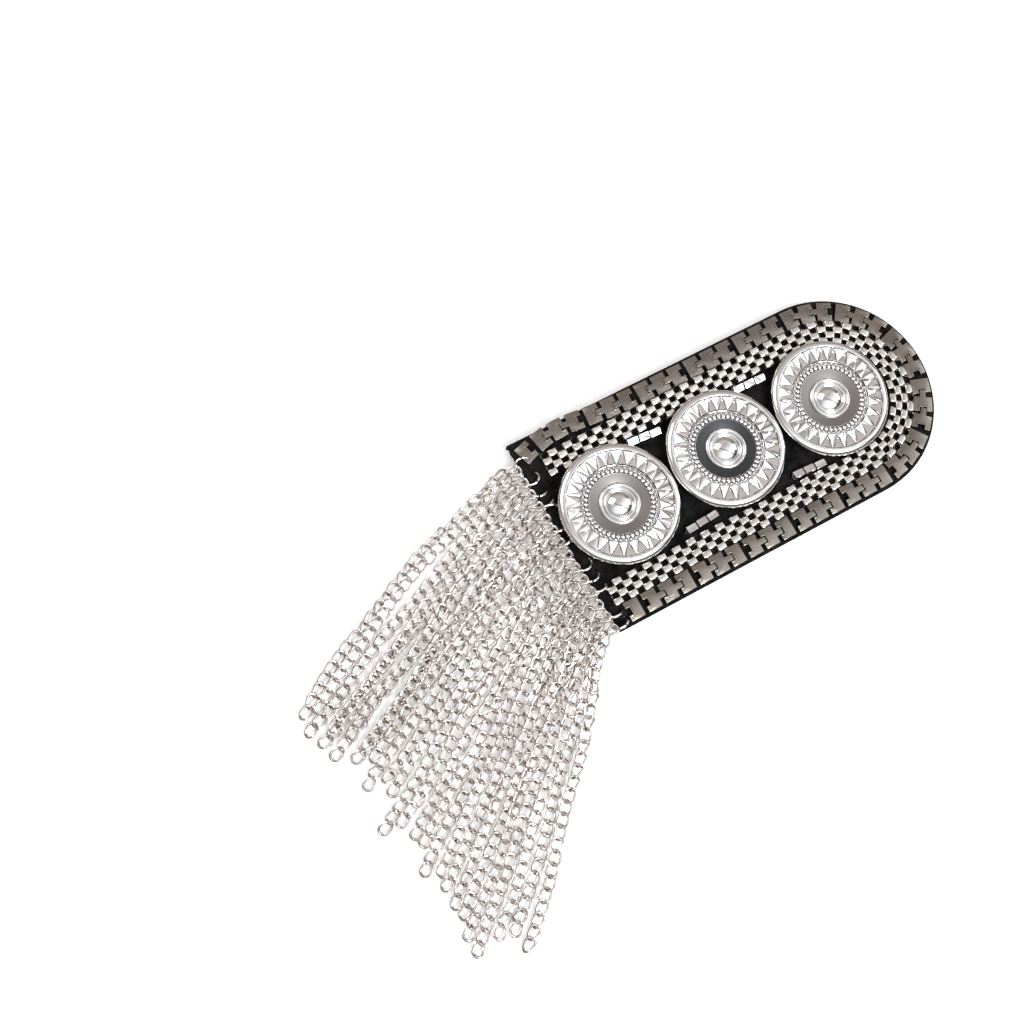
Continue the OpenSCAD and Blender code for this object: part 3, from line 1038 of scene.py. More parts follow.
@dataclass
class PlateBand:
    """The border of linked plates round the two sides and the round end."""

    count: int = 47
    group: int = 3
    width: float = 4.9
    thick: float = 0.9
    gap: float = 1.05
    neck: float = 1.5
    neck_reach: float = 0.9
    head: float = 0.55
    clearance: float = 0.2
    lip: float = 0.34
    lip_height: float = 0.16
    rock: float = 1.6
    first_rock: float = 5.0
    nod: float = 1.2
    lift: float = 0.04
    sway: tuple[Point, ...] = (
        (0, -0.28), (0.06, 0.02), (0.12, 0.24), (0.17, 0.28),
        (0.22, 0.2), (0.28, 0.1), (0.4, 0), (9, 0),
    )

    @property
    def pitch(self) -> float:
        """Distance from one plate to the next."""
        return PLAN.band_length(PLAN.plate_middle, PLAN.plate_start, PLAN.plate_end) / self.count

    def joint(self, along: float) -> Vector:
        """Place where two plates meet, at a distance along the band."""
        x, y, heading = PLAN.band_place(PLAN.plate_middle, PLAN.plate_start, along)
        out = self.width * between(along / (PLAN.round_x - PLAN.plate_start), self.sway)
        return Vector((x - out * math.sin(heading), y + out * math.cos(heading)))

    def plate(self, necked: bool) -> Object:
        """One stamped plate, with its notch, its raised lip and, if necked, its neck.

        Args:
            necked: Whether the plate reaches into the one before it.

        Returns:
            The plate, centred at the origin.
        """
        body = (self.pitch - self.gap) / 2
        half, notch = self.width / 2, self.neck / 2 + self.clearance
        floor = body - self.neck_reach - self.clearance
        lip = self.lip
        reach = self.pitch / 2 + self.gap / 2 + self.neck_reach
        head = reach - self.head
        xs = [-reach, -head, -body, -body + lip, floor - lip, floor, body - lip, body]
        ys = [-half, -notch - lip, -notch, -self.neck / 2, self.neck / 2, notch, notch + lip, half]
        plate = sheet_of_cells("plate", [x * MM for x in xs], [y * MM for y in ys])

        def spare(face: bmesh.types.BMFace) -> bool:
            """Whether a cell of the grid isn't part of the plate."""
            centre = face.calc_center_median() / MM
            if centre.x < -body:
                return not necked or abs(centre.y) > self.neck / 2
            return centre.x > floor and abs(centre.y) < notch

        def on_lip(face: bmesh.types.BMFace) -> bool:
            """Whether a top cell belongs to the raised lip round the notch."""
            centre = face.calc_center_median() / MM
            return (
                face.normal.z > 0.9
                and floor - lip < centre.x
                and abs(centre.y) < notch + lip
                and centre.z > self.thick / 2
            )

        with editing(plate):
            pick(plate, "faces", spare)
            bpy.ops.mesh.delete(type="FACE")
        raised(plate, self.thick * MM)
        with editing(plate):
            pick(plate, "faces", on_lip)
            push_up(self.lip_height * MM)
            bpy.ops.mesh.select_all(action="SELECT")
            bpy.ops.mesh.dissolve_limited(angle_limit=math.radians(1))
        bevelled(plate, 0.11, 2, 40)
        outward(plate)
        return plate

    def build(self) -> tuple[Object, Object]:
        """Builds the band's front and rear pieces."""
        chance = random.Random(3)
        split = self.count // 2
        pieces = []
        patterns = {necked: self.plate(necked) for necked in (True, False)}
        places: dict[tuple[bool, bool], list[Matrix]] = {}
        for k in range(self.count):
            first, second = self.joint(k * self.pitch), self.joint((k + 1) * self.pitch)
            middle, run = (first + second) / 2, second - first
            heading = math.atan2(run.y, run.x)
            necked = k > 1 and (k - 1) % self.group != 0
            rock = shaken(chance, self.rock if k else self.first_rock, "X")
            nod = shaken(chance, self.nod, "Y")
            place = spot(middle.x, middle.y, PLAN.seat_z + self.lift, heading) @ rock @ nod
            places.setdefault((k < split, necked), []).append(place)
        sides = ((True, "front_border", "front_plates"), (False, "rear_border", "rear_plates"))
        for front, name, node in sides:
            parts = [
                stamped(f"{name}_{necked}", patterns[necked], places[front, necked], keep=True)
                for necked in (True, False)
            ]
            piece = joined(name, parts)
            smooth(piece, 30)
            Finish.PLATE.dress(piece)
            hand_over(piece, "plate_metal", node)
            pieces.append(piece)
        for pattern in patterns.values():
            bpy.data.objects.remove(pattern, do_unlink=True)
        return tuple(pieces)


@dataclass
class WovenMesh:
    """The woven band: pillowed cells in a checkerboard, tied by thin wire loops."""

    rows: int = 4
    row: float = 1.48
    columns: int = 98
    thick: float = 1.15
    wire: float = 0.2
    crown: float = 0.24
    overlap: float = 1.1
    insets: tuple[Point, ...] = ((0.1, 0.12), (0.2, 0.08), (0.25, 0.04))
    selvage: float = 0.22
    roll_table: tuple[Point, ...] = (
        (0, 7), (30, 13), (62, 10), (80, 4), (115, 3), (140, 0), (210, -3)
    )

    @property
    def pitch(self) -> float:
        """Distance between the squares along the band."""
        return PLAN.band_length(PLAN.mesh_middle, PLAN.mesh_start, PLAN.mesh_end) / self.columns

    def cell(self) -> Object:
        """One cell: a rolled strip with rounded shoulders and a low crown."""
        let_go()
        body = (self.thick - self.crown) * MM
        bpy.ops.mesh.primitive_cube_add(size=1, location=(0, 0, body / 2))
        cell = named("cell", (self.pitch * self.overlap * MM, self.row * self.overlap * MM, body))
        with editing(cell):
            pick(cell, "faces", lambda face: face.normal.z > 0.9)
            for thickness, depth in self.insets:
                bpy.ops.mesh.inset(thickness=thickness * MM, depth=depth * MM)
        bevelled(cell, 0.08, 1, 50)
        return cell

    def loop(self) -> Object:
        """One wire loop round a hole."""
        let_go()
        bpy.ops.mesh.primitive_torus_add(
            major_segments=12,
            minor_segments=4,
            major_radius=1 * MM,
            minor_radius=self.wire / 2 * MM,
        )
        return named("loop", (self.pitch / 2 * 1.02, self.row / 2 * 1.05, 1.3))

    def place(
        self, column: int, across: float, level: float, chance: random.Random, wild: float
    ) -> Matrix:
        """Place of one cell or loop of the band.

        Args:
            column: Column along the band.
            across: Distance from the band's middle line, outwards.
            level: Height over the felt.
            chance: The random numbers.
            wild: How far the piece may be turned at random, in degrees.

        Returns:
            The place as a matrix.
        """
        along = (column + 0.5) * self.pitch
        x, y, heading = PLAN.band_place(PLAN.mesh_middle, PLAN.mesh_start, along)
        roll = math.radians(between(along, self.roll_table))
        tip = shaken(chance, wild, "X")
        nod = shaken(chance, wild, "Y")
        lift = PLAN.seat_z + self.rows / 2 * self.row * abs(math.sin(roll))
        return (
            spot(x, y, lift, heading)
            @ Matrix.Rotation(roll, 4, "X")
            @ Matrix.Translation((0, across * MM, level * MM))
            @ tip
            @ nod
        )

    def build(self) -> Object:
        """Builds the band as one piece."""
        chance = random.Random(21)
        cells, loops = [], []
        for column in range(self.columns):
            for row in range(self.rows):
                across = (row - (self.rows - 1) / 2) * self.row
                if (column + row) % 2 == 0:
                    cells.append(self.place(column, across, 0.0, chance, 4))
                    continue
                outwards = {0: -self.selvage, self.rows - 1: self.selvage}.get(row, 0.0)
                loops.append(self.place(column, across + outwards, self.thick * 0.6, chance, 6))
        weave = stamped("mesh_cells", self.cell(), cells)
        mesh = joined("woven_mesh", [weave, stamped("mesh_loops", self.loop(), loops)])
        smooth(mesh, 62)
        Finish.MESH.dress(mesh)
        hand_over(mesh, "mesh_metal", "mesh_band")
        return mesh


# ---------------------------------------------------------------- discs


@dataclass
class ReliefDisc:
    """A round relief disc: knurled edge, round rim, sunburst, grains, flat ring and dome."""

    index: int
    radius: float = 15.15
    wall: float = 13.25
    wall_height: float = 2.3
    rim_inner: float = 13.5
    rim_level: float = 3.1
    rim_height: float = 1.3
    floor: float = 3.1
    face: float = 3.4
    rays: int = 25
    ray_inner: float = 9.85
    ray_outer: float = 13.25
    ray_crown: float = 0.16
    grains: int = 44
    grain_rings: tuple[tuple[float, ...], ...] = ((8.34, 0.62, 0.53, 0.0), (9.12, 0.3, 0.46, 0.5))
    grain_level: float = 3.24
    teeth: int = 72
    tooth_radius: float = 14.95
    tooth_length: float = 0.75
    tooth_level: float = 0.42
    valley: float = 0.975
    dome_radius: float = 3.3
    dome_height: float = 1.3
    dome_steps: int = 12
    sides: int = 150
    rim_fall: tuple[Point, ...] = (
        (13.6, 4.39), (13.45, 4.33), (13.38, 4.2), (13.33, 3.2), (13.2, 3.14)
    )
    scallop: tuple[Point, ...] = ((9.75, 3.3), (9.68, 3.44), (9.56, 3.46), (9.5, 3.34))
    grain_bed: tuple[Point, ...] = ((9.42, 3.16), (7.92, 3.16), (7.74, 3.36), (7.66, 3.43))
    turns: tuple[float, ...] = (0.0, 0.11, 0.19)

    def dome(self) -> list[Point]:
        """The dome's profile, from its foot to just before its top."""
        height, steps = self.dome_height, self.dome_steps
        ball = (self.dome_radius**2 + height**2) / (2 * height)
        low = math.asin(self.dome_radius / ball)
        centre = self.face + height - ball
        angles = (low * (1 - step / steps) for step in range(steps))
        return [(ball * math.sin(a), centre + ball * math.cos(a)) for a in angles]

    def body(self) -> Object:
        """The turned body."""
        stretch = self.rim_height / (self.radius - self.rim_inner)
        roll = arc((self.rim_inner, self.rim_level), self.radius - self.rim_inner, -25, 76, 14)
        rim = [(r, self.rim_level + (z - self.rim_level) * stretch) for r, z in roll]
        ridge = arc((4.72, self.face - 0.06), 0.5, 0, 180, 8)
        second = arc((3.72, self.face + 0.02), 0.34, 10, 170, 7)
        skirt = [(14.5, self.wall_height + 0.02), (14.8, 2.4)]
        profile = [(self.wall, 0), (self.wall, self.wall_height), *skirt, *rim, *self.rim_fall]
        profile += [(self.ray_inner, self.floor), *self.scallop, *self.grain_bed]
        profile += [(7.58, self.face), (5.3, self.face - 0.02), *ridge, (4.15, self.face - 0.1)]
        profile += [*second, (3.36, self.face - 0.05), *self.dome()]
        profile += [(0, self.face + self.dome_height)]
        return turned("disc_body", [(r * MM, z * MM) for r, z in profile], self.sides)

    def knurl(self) -> Object:
        """The serrated ring under the rim."""
        let_go()
        corners = 3 * self.teeth
        bpy.ops.mesh.primitive_cylinder_add(
            vertices=corners,
            radius=self.tooth_radius * MM,
            depth=self.tooth_length * MM,
            location=(0, 0, (self.wall_height + self.tooth_level) * MM),
        )
        knurl = named("knurl")
        turn = FULL_TURN / corners

        def in_valley(vertex: bmesh.types.BMVert) -> bool:
            """Whether a corner is every third one, between two teeth."""
            return round(math.atan2(vertex.co.y, vertex.co.x) / turn) % 3 == 0

        with editing(knurl):
            pick(knurl, "verts", in_valley)
            scale = (self.valley, self.valley, 1)
            bpy.ops.transform.resize(value=scale, center_override=(0, 0, 0))
        return knurl

    def wedge(self, inner: Point, outer: Point, near: float, far: float) -> Object:
        """A low wedge of the sunburst that points along X.

        Args:
            inner: Distance from the disc's centre and half width of its inner end.
            outer: The same of its outer end.
            near: Its level at the inner end.
            far: Its level at the outer end.

        Returns:
            The wedge.
        """
        wedge = sheet_of_cells("wedge", [inner[0] * MM, outer[0] * MM], [-1.0, 0.0, 1.0])
        middle = (inner[0] + outer[0]) / 2 * MM
        for vertex in wedge.data.vertices:
            vertex.co.y *= (inner[1] if vertex.co.x < middle else outer[1]) * MM
        raised(wedge, 1 * MM)
        sunk = self.floor - 0.2
        for vertex in wedge.data.vertices:
            top = near if vertex.co.x < middle else far
            ridge = self.ray_crown if abs(vertex.co.y) < 0.001 * MM else 0
            vertex.co.z = (top + ridge if vertex.co.z > 0.5 * MM else sunk) * MM
        bevelled(wedge, 0.05, 1, 35)
        return wedge

    def sunburst(self) -> Object:
        """The ring of rays: outward points on top, inward points between them."""
        half_in = self.ray_inner * math.sin(math.pi / self.rays)
        half_out = self.ray_outer * math.sin(math.pi / self.rays)
        outward_ray = self.wedge(
            (self.ray_inner, half_in * 0.84), (self.ray_outer - 0.35, 0.07), 3.98, 3.14
        )
        inward_ray = self.wedge(
            (self.ray_inner + 0.35, 0.07), (self.ray_outer - 0.05, half_out * 0.86), 3.1, 3.98
        )
        step = FULL_TURN / self.rays
        tops = [Matrix.Rotation(step * k, 4, "Z") for k in range(self.rays)]
        lows = [Matrix.Rotation(step * (k + 0.5), 4, "Z") for k in range(self.rays)]
        rays = stamped("outward_rays", outward_ray, tops)
        return joined("sunburst", [rays, stamped("inward_rays", inward_ray, lows)])

    def grain_rows(self) -> Object:
        """Two rows of grains between the sunburst and the flat ring."""
        rows = []
        step = FULL_TURN / self.grains
        for distance, length, width, shift in self.grain_rings:
            let_go()
            bpy.ops.mesh.primitive_uv_sphere_add(
                segments=10,
                ring_count=6,
                radius=1,
                location=(distance * MM, 0, self.grain_level * MM),
            )
            grain = named("grain", (length * MM, width * MM, 0.9 * width * MM))
            places = [Matrix.Rotation(step * (k + shift), 4, "Z") for k in range(self.grains)]
            rows.append(stamped("grain_row", grain, places))
        return joined("grain_rows", rows)

    def build(self) -> Object:
        """Builds the disc in its place."""
        name = f"relief_disc_{self.index + 1}"
        disc = joined(name, [self.body(), self.knurl(), self.sunburst(), self.grain_rows()])
        smooth(disc, 32)
        plan_map(disc, (0.0, 0.0), Finish.DISC.value.span * MM)
        x, y, turn = (row[self.index] for row in (PLAN.disc_x, PLAN.disc_y, self.turns))
        disc.matrix_world = spot(x, y, PLAN.seat_z, turn)
        settle(disc)
        # The second disc takes the copy whose flat ring is painted darker, as shade.
        (Finish.DARK_DISC if self.index == 1 else Finish.DISC).dress(disc)
        hand_over(disc, "disc_plating", f"disc_{self.index + 1}")
        return disc


# ---------------------------------------------------------------- beads


@dataclass
class BeadRow:
    """A row of rolled box beads on its thread."""

    index: int
    gap_after: int
    side: int
    along: float
    inward: float
    turn: float
    roll: float
    length: float = 2.75
    width: float = 1.75
    gap: float = 0.35
    margin: float = 0.45
    shake: float = 6.0
    swing: float = 2.5
    ply_radius: float = 0.14
    ply_offset: float = 0.11
    end_radius: float = 0.24
    turn_radius: float = 0.26
    twists: int = 7
    count: int = 3

    @property
    def lift(self) -> float:
        """Height of the row's middle over the felt."""
        angle = math.radians(self.roll)
        return self.width / 2 * (math.cos(angle) + math.sin(angle))

    def place(self) -> Matrix:
        """Place of the row's middle."""
        first, second = PLAN.disc_x[self.gap_after : self.gap_after + 2]
        x = (first + second) / 2 + self.along * self.length
        y = self.side * (PLAN.mesh_inner - self.margin - self.lift - self.inward * self.width)
        return spot(x, y, PLAN.seat_z + self.lift, math.radians(self.turn))

    def bead(self) -> Object:
        """One bead: a strip of sheet rolled into a box, with open ends and a seam."""
        let_go()
        bpy.ops.mesh.primitive_cube_add(size=1)
        bead = named("bead", (self.length * MM, self.width * MM, self.width * MM))
        with editing(bead):
            pick(bead, "faces", lambda face: abs(face.normal.x) > 0.9)
            bpy.ops.mesh.inset(thickness=0.3 * MM)
            bpy.ops.mesh.delete(type="FACE")
            pick(bead, "edges", lambda edge: edge.is_boundary)
            bpy.ops.mesh.bridge_edge_loops()
            top = 0.8 * MM
            pick(bead, "faces", lambda f: f.normal.z > 0.9 and f.calc_center_median().z > top)
            bpy.ops.mesh.inset(thickness=0.16 * MM, depth=-0.05 * MM)
        outward(bead)
        bevelled(bead, 0.12, 2, 50)
        return bead

    def beads(self) -> Object:
        """The row's beads as one piece."""
        chance = random.Random(40 + self.index)
        places = []
        for k in range(self.count):
            along = (k - (self.count - 1) / 2) * (self.length + self.gap)
            shift = Matrix.Translation((along * MM, 0, 0))
            shake = chance.uniform(-self.shake, self.shake)
            roll = math.radians(self.roll * self.side + shake)
            tip = Matrix.Rotation(roll, 4, "X")
            swing = shaken(chance, self.swing, "Z")
            places.append(self.place() @ shift @ swing @ tip)
        beads = stamped(f"box_beads_{self.index + 1}", self.bead(), places)
        smooth(beads, 32)
        Finish.BEAD.dress(beads)
        hand_over(beads, "bead_metal", f"bead_row_{self.index + 1}")
        return beads

    def thread(self) -> Object:
        """The twisted two-ply thread through the row, with both ends down in the felt."""
        half = self.count * (self.length + self.gap) / 2 + 0.2
        plies = []
        for side in (-1, 1):
            let_go()
            place = (0, side * self.ply_offset * MM, 0)
            bpy.ops.mesh.primitive_cylinder_add(
                vertices=6, radius=self.ply_radius * MM, depth=2 * half * MM, location=place
            )
            plies.append(named("ply"))
        run = joined("thread_run", plies)
        with editing(run):
            pick(run, "edges", lambda edge: rise_of(edge) > half * MM)
            bpy.ops.mesh.subdivide(number_cuts=40)
        twist = FULL_TURN * self.twists
        finish_with(run, "SIMPLE_DEFORM", deform_method="TWIST", angle=twist, deform_axis="Z")
        run.rotation_euler = (0, math.pi / 2, 0)
        settle(run)
        ends = []
        for end in (-1, 1):
            let_go()
            foot = (end * half * MM, 0, -self.lift / 2 * MM)
            bpy.ops.mesh.primitive_cylinder_add(
                vertices=10, radius=self.end_radius * MM, depth=self.lift * MM, location=foot
            )
            ends.append(named("thread_end"))
            let_go()
            bpy.ops.mesh.primitive_uv_sphere_add(
                segments=10,
                ring_count=6,
                radius=self.turn_radius * MM,
                location=(end * half * MM, 0, 0),
            )
            ends.append(named("thread_turn"))
        thread = joined(f"bead_ply_{self.index + 1}", [run, *ends])
        thread.matrix_world = self.place()
        settle(thread)
        smooth(thread, 50)
        Finish.THREAD.dress(thread)
        hand_over(thread, "thread", f"bead_thread_{self.index + 1}")
        return thread

    def build(self) -> None:
        """Builds the beads and their thread."""
        self.beads()
        self.thread()


# ---------------------------------------------------------------- chains


@dataclass
class ChainFringe:
    """The fringe of curb chains, two strands to a ring, in two layers.

    Width, thick, layer_gap, gap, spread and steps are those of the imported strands. Each row of
    ends says where a strand ends, counted from the chain edge's middle, how far it bows and
    whether it stays on top. Rolls tip whole strands, in degrees. Where a value is a pair, the
    first is that of the calm lower links and the second is added near the rings, where the links
    lie wildly. Waves and lifts are in millimetres, swings in radians and rolls in degrees.
    """

    rings: JumpRings
    width: float = 2.2
    thick: float = 1.3
    layer_gap: float = 0.15
    gap: float = 0.25
    spread: float = 0.75
    pitch: float = 2.88
    link_width: float = 3.15
    wire: float = 0.66
    twist: float = 43.0
    ends: tuple[tuple[float, float, float, int], ...] = (
        (-76, -10, 3.3, 0), (-72.5, -10.7, 3, 1),
        (-76.8, -13.9, 0.5, 0), (-71.5, -15.9, 0, 1),
        (-75.2, -17.7, 0, 0), (-68.8, -19.5, 0, 1),
        (-74.3, -21.1, 0, 0), (-66.5, -23.1, 0, 1),
        (-70, -24.5, 0, 0), (-61, -23.5, 0, 1),
        (-66.6, -25.9, 0, 0), (-70.6, -31.1, 0, 0),
        (-66, -31.9, 0, 0), (-66.2, -35.1, 0, 0),
        (-72, -41.9, 0, 0), (-67.4, -42.7, 0, 0),
        (-66.2, -46.1, 0, 0), (-65, -48.8, 0, 0),
        (-68, -54.7, 0, 0), (-64.8, -56.3, 0, 0),
        (-65, -60.3, 0, 0), (-65.4, -64.3, 0, 0),
        (-64.4, -67.7, 0, 0), (-65.6, -72.3, 0, 0),
        (-65.6, -76.3, 0, 0), (-59.6, -75.3, -0.3, 0),
        (-55.8, -76.7, -0.4, 0), (-55, -81.1, -1, 0),
    )
    steps: tuple[float, ...] = (0, 0.04, 0.12, 0.3, 0.5, 0.7, 0.86, 1)
    rolls: dict[int, float] = field(default_factory=lambda: {0: 30, 12: 25, 27: 20})
    steady_share: float = 0.7
    drop_share: float = 0.12
    ring_level: float = 0.8
    inside: float = 0.3
    inside_spread: float = 0.62
    inside_levels: Point = (2.7, 4.2)
    seat: float = 0.1
    wave_length: float = 5.5
    wave: Point = (0.5, 0.3)
    jitter: Point = (0.12, 0.45)
    lift: Point = (0.1, 0.5)
    loose: Point = (19.0, 52.0)
    slow_roll: float = 12.0
    swing: float = 0.09
    swing_jitter: Point = (0.08, 4.5)
    end_swing: float = 0.3
    calm_links: int = 4
    wild_links: int = 12
    slope: float = 0.26
    clearance: float = 0.24

    def level(self, share: float, upper: bool, on_top: bool) -> float:
        """Height of a strand's middle at a share of its length."""
        rise = self.thick + self.layer_gap
        drop = 1 - min(share / self.drop_share, 1)
        down = (PLAN.pad_z + self.ring_level - rise) * drop**2
        layer = 0.0
        if upper:
            layer = 1.0 if on_top or share <= self.steady_share else 0.5 if share < 1 else 0.0
        return self.thick / 2 + down + rise * layer

    def route(self, index: int) -> list[Vector]:
        """Points of a strand's middle line, from inside its ring to its end, in millimetres."""
        end_x, end_y, bow, top = self.ends[index]
        upper = index % 2 == 1
        ring = self.rings.place_of(index // 2)
        edge = PLAN.edge_at(ring)
        out = self.rings.radius + self.rings.wire / 2 + self.gap + self.width / 2
        start = Vector((edge - out, ring + (-self.spread if upper else self.spread)))
        end = Vector((PLAN.edge_x + end_x, end_y))
        run = end - start
        side = Vector((run.y, -run.x)).normalized()
        table = [(share, self.level(share, upper, bool(top))) for share in self.steps]
        aside = -self.inside_spread if upper else self.inside_spread
        points = [Vector((edge - self.inside, ring + aside, self.inside_levels[upper]))]
        for k in range(121):
            share = k / 120
            flat = start + run * share + side * bow * 4 * share * (1 - share)
            points.append(Vector((flat.x, flat.y, between(share, table) + self.seat)))
        return points

    def link(self) -> Object:
        """One curb link: an oval ring of wire, twisted along its length."""
        let_go()
        half_length = (self.pitch + self.wire) / 2
        half_width = (self.link_width - self.wire) / 2
        bpy.ops.mesh.primitive_torus_add(
            major_segments=14,
            minor_segments=6,
            major_radius=half_width * MM,
            minor_radius=self.wire / 2 * MM,
        )
        link = named("link")
        with editing(link):
            for side in (-1, 1):
                pick(link, "verts", lambda vertex: vertex.co.x * side > 0)
                bpy.ops.transform.translate(value=(side * (half_length - half_width) * MM, 0, 0))
        twist = math.radians(2 * self.twist)
        finish_with(link, "SIMPLE_DEFORM", deform_method="TWIST", angle=twist, deform_axis="X")
        return link

    def places(self, index: int, chance: random.Random) -> list[Matrix]:
        """Places of the links of one strand."""
        points = self.route(index)
        lengths = [0.0]
        for first, second in zip(points, points[1:]):
            lengths.append(lengths[-1] + (second - first).length)
        half = (self.pitch + self.wire) / 2
        count = int((lengths[-1] - half) / self.pitch)
        slack = (lengths[-1] - half) / count
        table = [
            [(length, point[axis]) for length, point in zip(lengths, points)] for axis in range(3)
        ]

        def at(distance: float) -> Vector:
            """Point of the route at a distance along it."""
            return Vector([between(distance, column) for column in table])

        phase, sway = chance.uniform(0, FULL_TURN), chance.uniform(0.5, 1.0)
        places = []
        for k in range(count):
            distance = half + k * slack
            behind, ahead = at(distance - half * 0.9), at(min(distance + half * 0.9, lengths[-1]))
            centre = (behind + ahead) / 2
            run = (ahead - behind).normalized()
            calm = min(k / self.calm_links, 1)
            wild = max(0.0, 1 - k / self.wild_links)
            turn = phase + distance / self.wave_length
            wave = (self.wave[0] + self.wave[1] * wild) * calm * math.sin(turn) * sway
            aside = Vector((-run.y, run.x, 0)).normalized()
            swing = self.swing * calm * math.cos(turn)
            if k >= count - 2:
                swing += chance.uniform(-self.end_swing, self.end_swing)
            jitter, more = self.swing_jitter
            swing += chance.uniform(-jitter, jitter) * (1 + more * wild * calm)
            loose = self.loose[0] + self.loose[1] * wild * calm
            slow_turn = phase * 2 + distance / (2 * self.wave_length)
            roll = chance.uniform(-loose, loose) + self.slow_roll * math.sin(slow_turn)
            roll = math.radians(roll + self.rolls.get(index, 0) * calm)
            if k == 0:
                roll = math.radians(self.rings.lean)
            shift = (self.jitter[0] + self.jitter[1] * wild) * calm * chance.uniform(-1, 1)
            centre += aside * (wave + shift)
            stand = math.sin(min(abs(roll) + self.slope, math.pi / 2))
            height = self.wire / 2 + (self.link_width - self.wire) / 2 * stand
            lift = chance.uniform(0, self.lift[0] + self.lift[1] * wild)
            level = max(centre.z + lift, height + self.clearance)
            heading = math.atan2(run.y, run.x) + swing
            dip = -math.asin(max(-1.0, min(1.0, run.z)))
            places.append(
                spot(centre.x, centre.y, level, heading)
                @ Matrix.Rotation(dip, 4, "Y")
                @ Matrix.Rotation(roll, 4, "X")
            )
        return places

    def build(self) -> None:
        """Builds the lower and the upper strands."""
        chance = random.Random(77)
        layers = (("lower_chains", "lower_fringe", 0), ("upper_chains", "upper_fringe", 1))
        for name, node, first in layers:
            places = []
            for index in range(first, len(self.ends), 2):
                places += self.places(index, chance)
            chains = stamped(name, self.link(), places)
            smooth(chains, 60)
            Finish.CHAIN.dress(chains)
            hand_over(chains, "chain_metal", node)


# ---------------------------------------------------------------- studio


@dataclass(frozen=True)
class Viewpoint:
    """Where the photograph was taken from."""

    aim: tuple[float, float, float] = (-0.0599, 0.0120, 0.0)
    azimuth: float = -52.94
    elevation: float = 73.464
    roll: float = 24.927
    distance: float = 0.380441
    lens: float = 54.84

    def axes(self) -> tuple[Vector, Vector, Vector]:
        """The picture's right and up, and the way the camera looks."""
        azimuth, elevation = math.radians(self.azimuth), math.radians(self.elevation)
        flat = Vector((math.sin(-azimuth), math.cos(azimuth), 0))
        forward = (flat * math.cos(elevation) + Vector((0, 0, -math.sin(elevation)))).normalized()
        level = forward.cross(Vector((0, 0, 1))).normalized()
        rise = level.cross(forward).normalized()
        turn = math.radians(self.roll)
        right = level * math.cos(turn) + rise * math.sin(turn)
        return right, forward.cross(right) * -1, forward

    def place_camera(self) -> Object:
        """Makes the camera the scene's own."""
        data = bpy.data.cameras.new("photo_view")
        data.lens = self.lens
        data.sensor_width = 36.0
        data.clip_start = 0.01
        camera = bpy.data.objects.new("photo_view", data)
        bpy.context.scene.collection.objects.link(camera)
        right, rise, forward = self.axes()
        place = Matrix((right, rise, -forward)).transposed().to_4x4()
        place.translation = Vector(self.aim) - forward * self.distance
        camera.matrix_world = place
        bpy.context.scene.camera = camera
        return camera


@dataclass(frozen=True)
class Softbox:
    """A soft light, placed by the picture's own right and up."""

    name: str
    right: float
    rise: float
    height: float
    size: float
    power: float
    tint: Colour = (1.0, 1.0, 1.0)

    def place(self, view: Viewpoint) -> Object:
        """Hangs the light and aims it at the pad."""
        right, rise, _ = view.axes()
        flat_right = Vector((right.x, right.y, 0)).normalized()
        flat_rise = Vector((rise.x, rise.y, 0)).normalized()
        aim = Vector((-0.03, 0.0, 0.0))
        place = aim + flat_right * self.right + flat_rise * self.rise
        place += Vector((0, 0, self.height))
        data = bpy.data.lights.new(self.name, "AREA")
        data.shape = "SQUARE"
        data.size = self.size
        data.energy = self.power
        data.color = self.tint
        light = bpy.data.objects.new(self.name, data)
        bpy.context.scene.collection.objects.link(light)
        light.location = place
        light.rotation_euler = (aim - place).to_track_quat("-Z", "Y").to_euler()
        return light


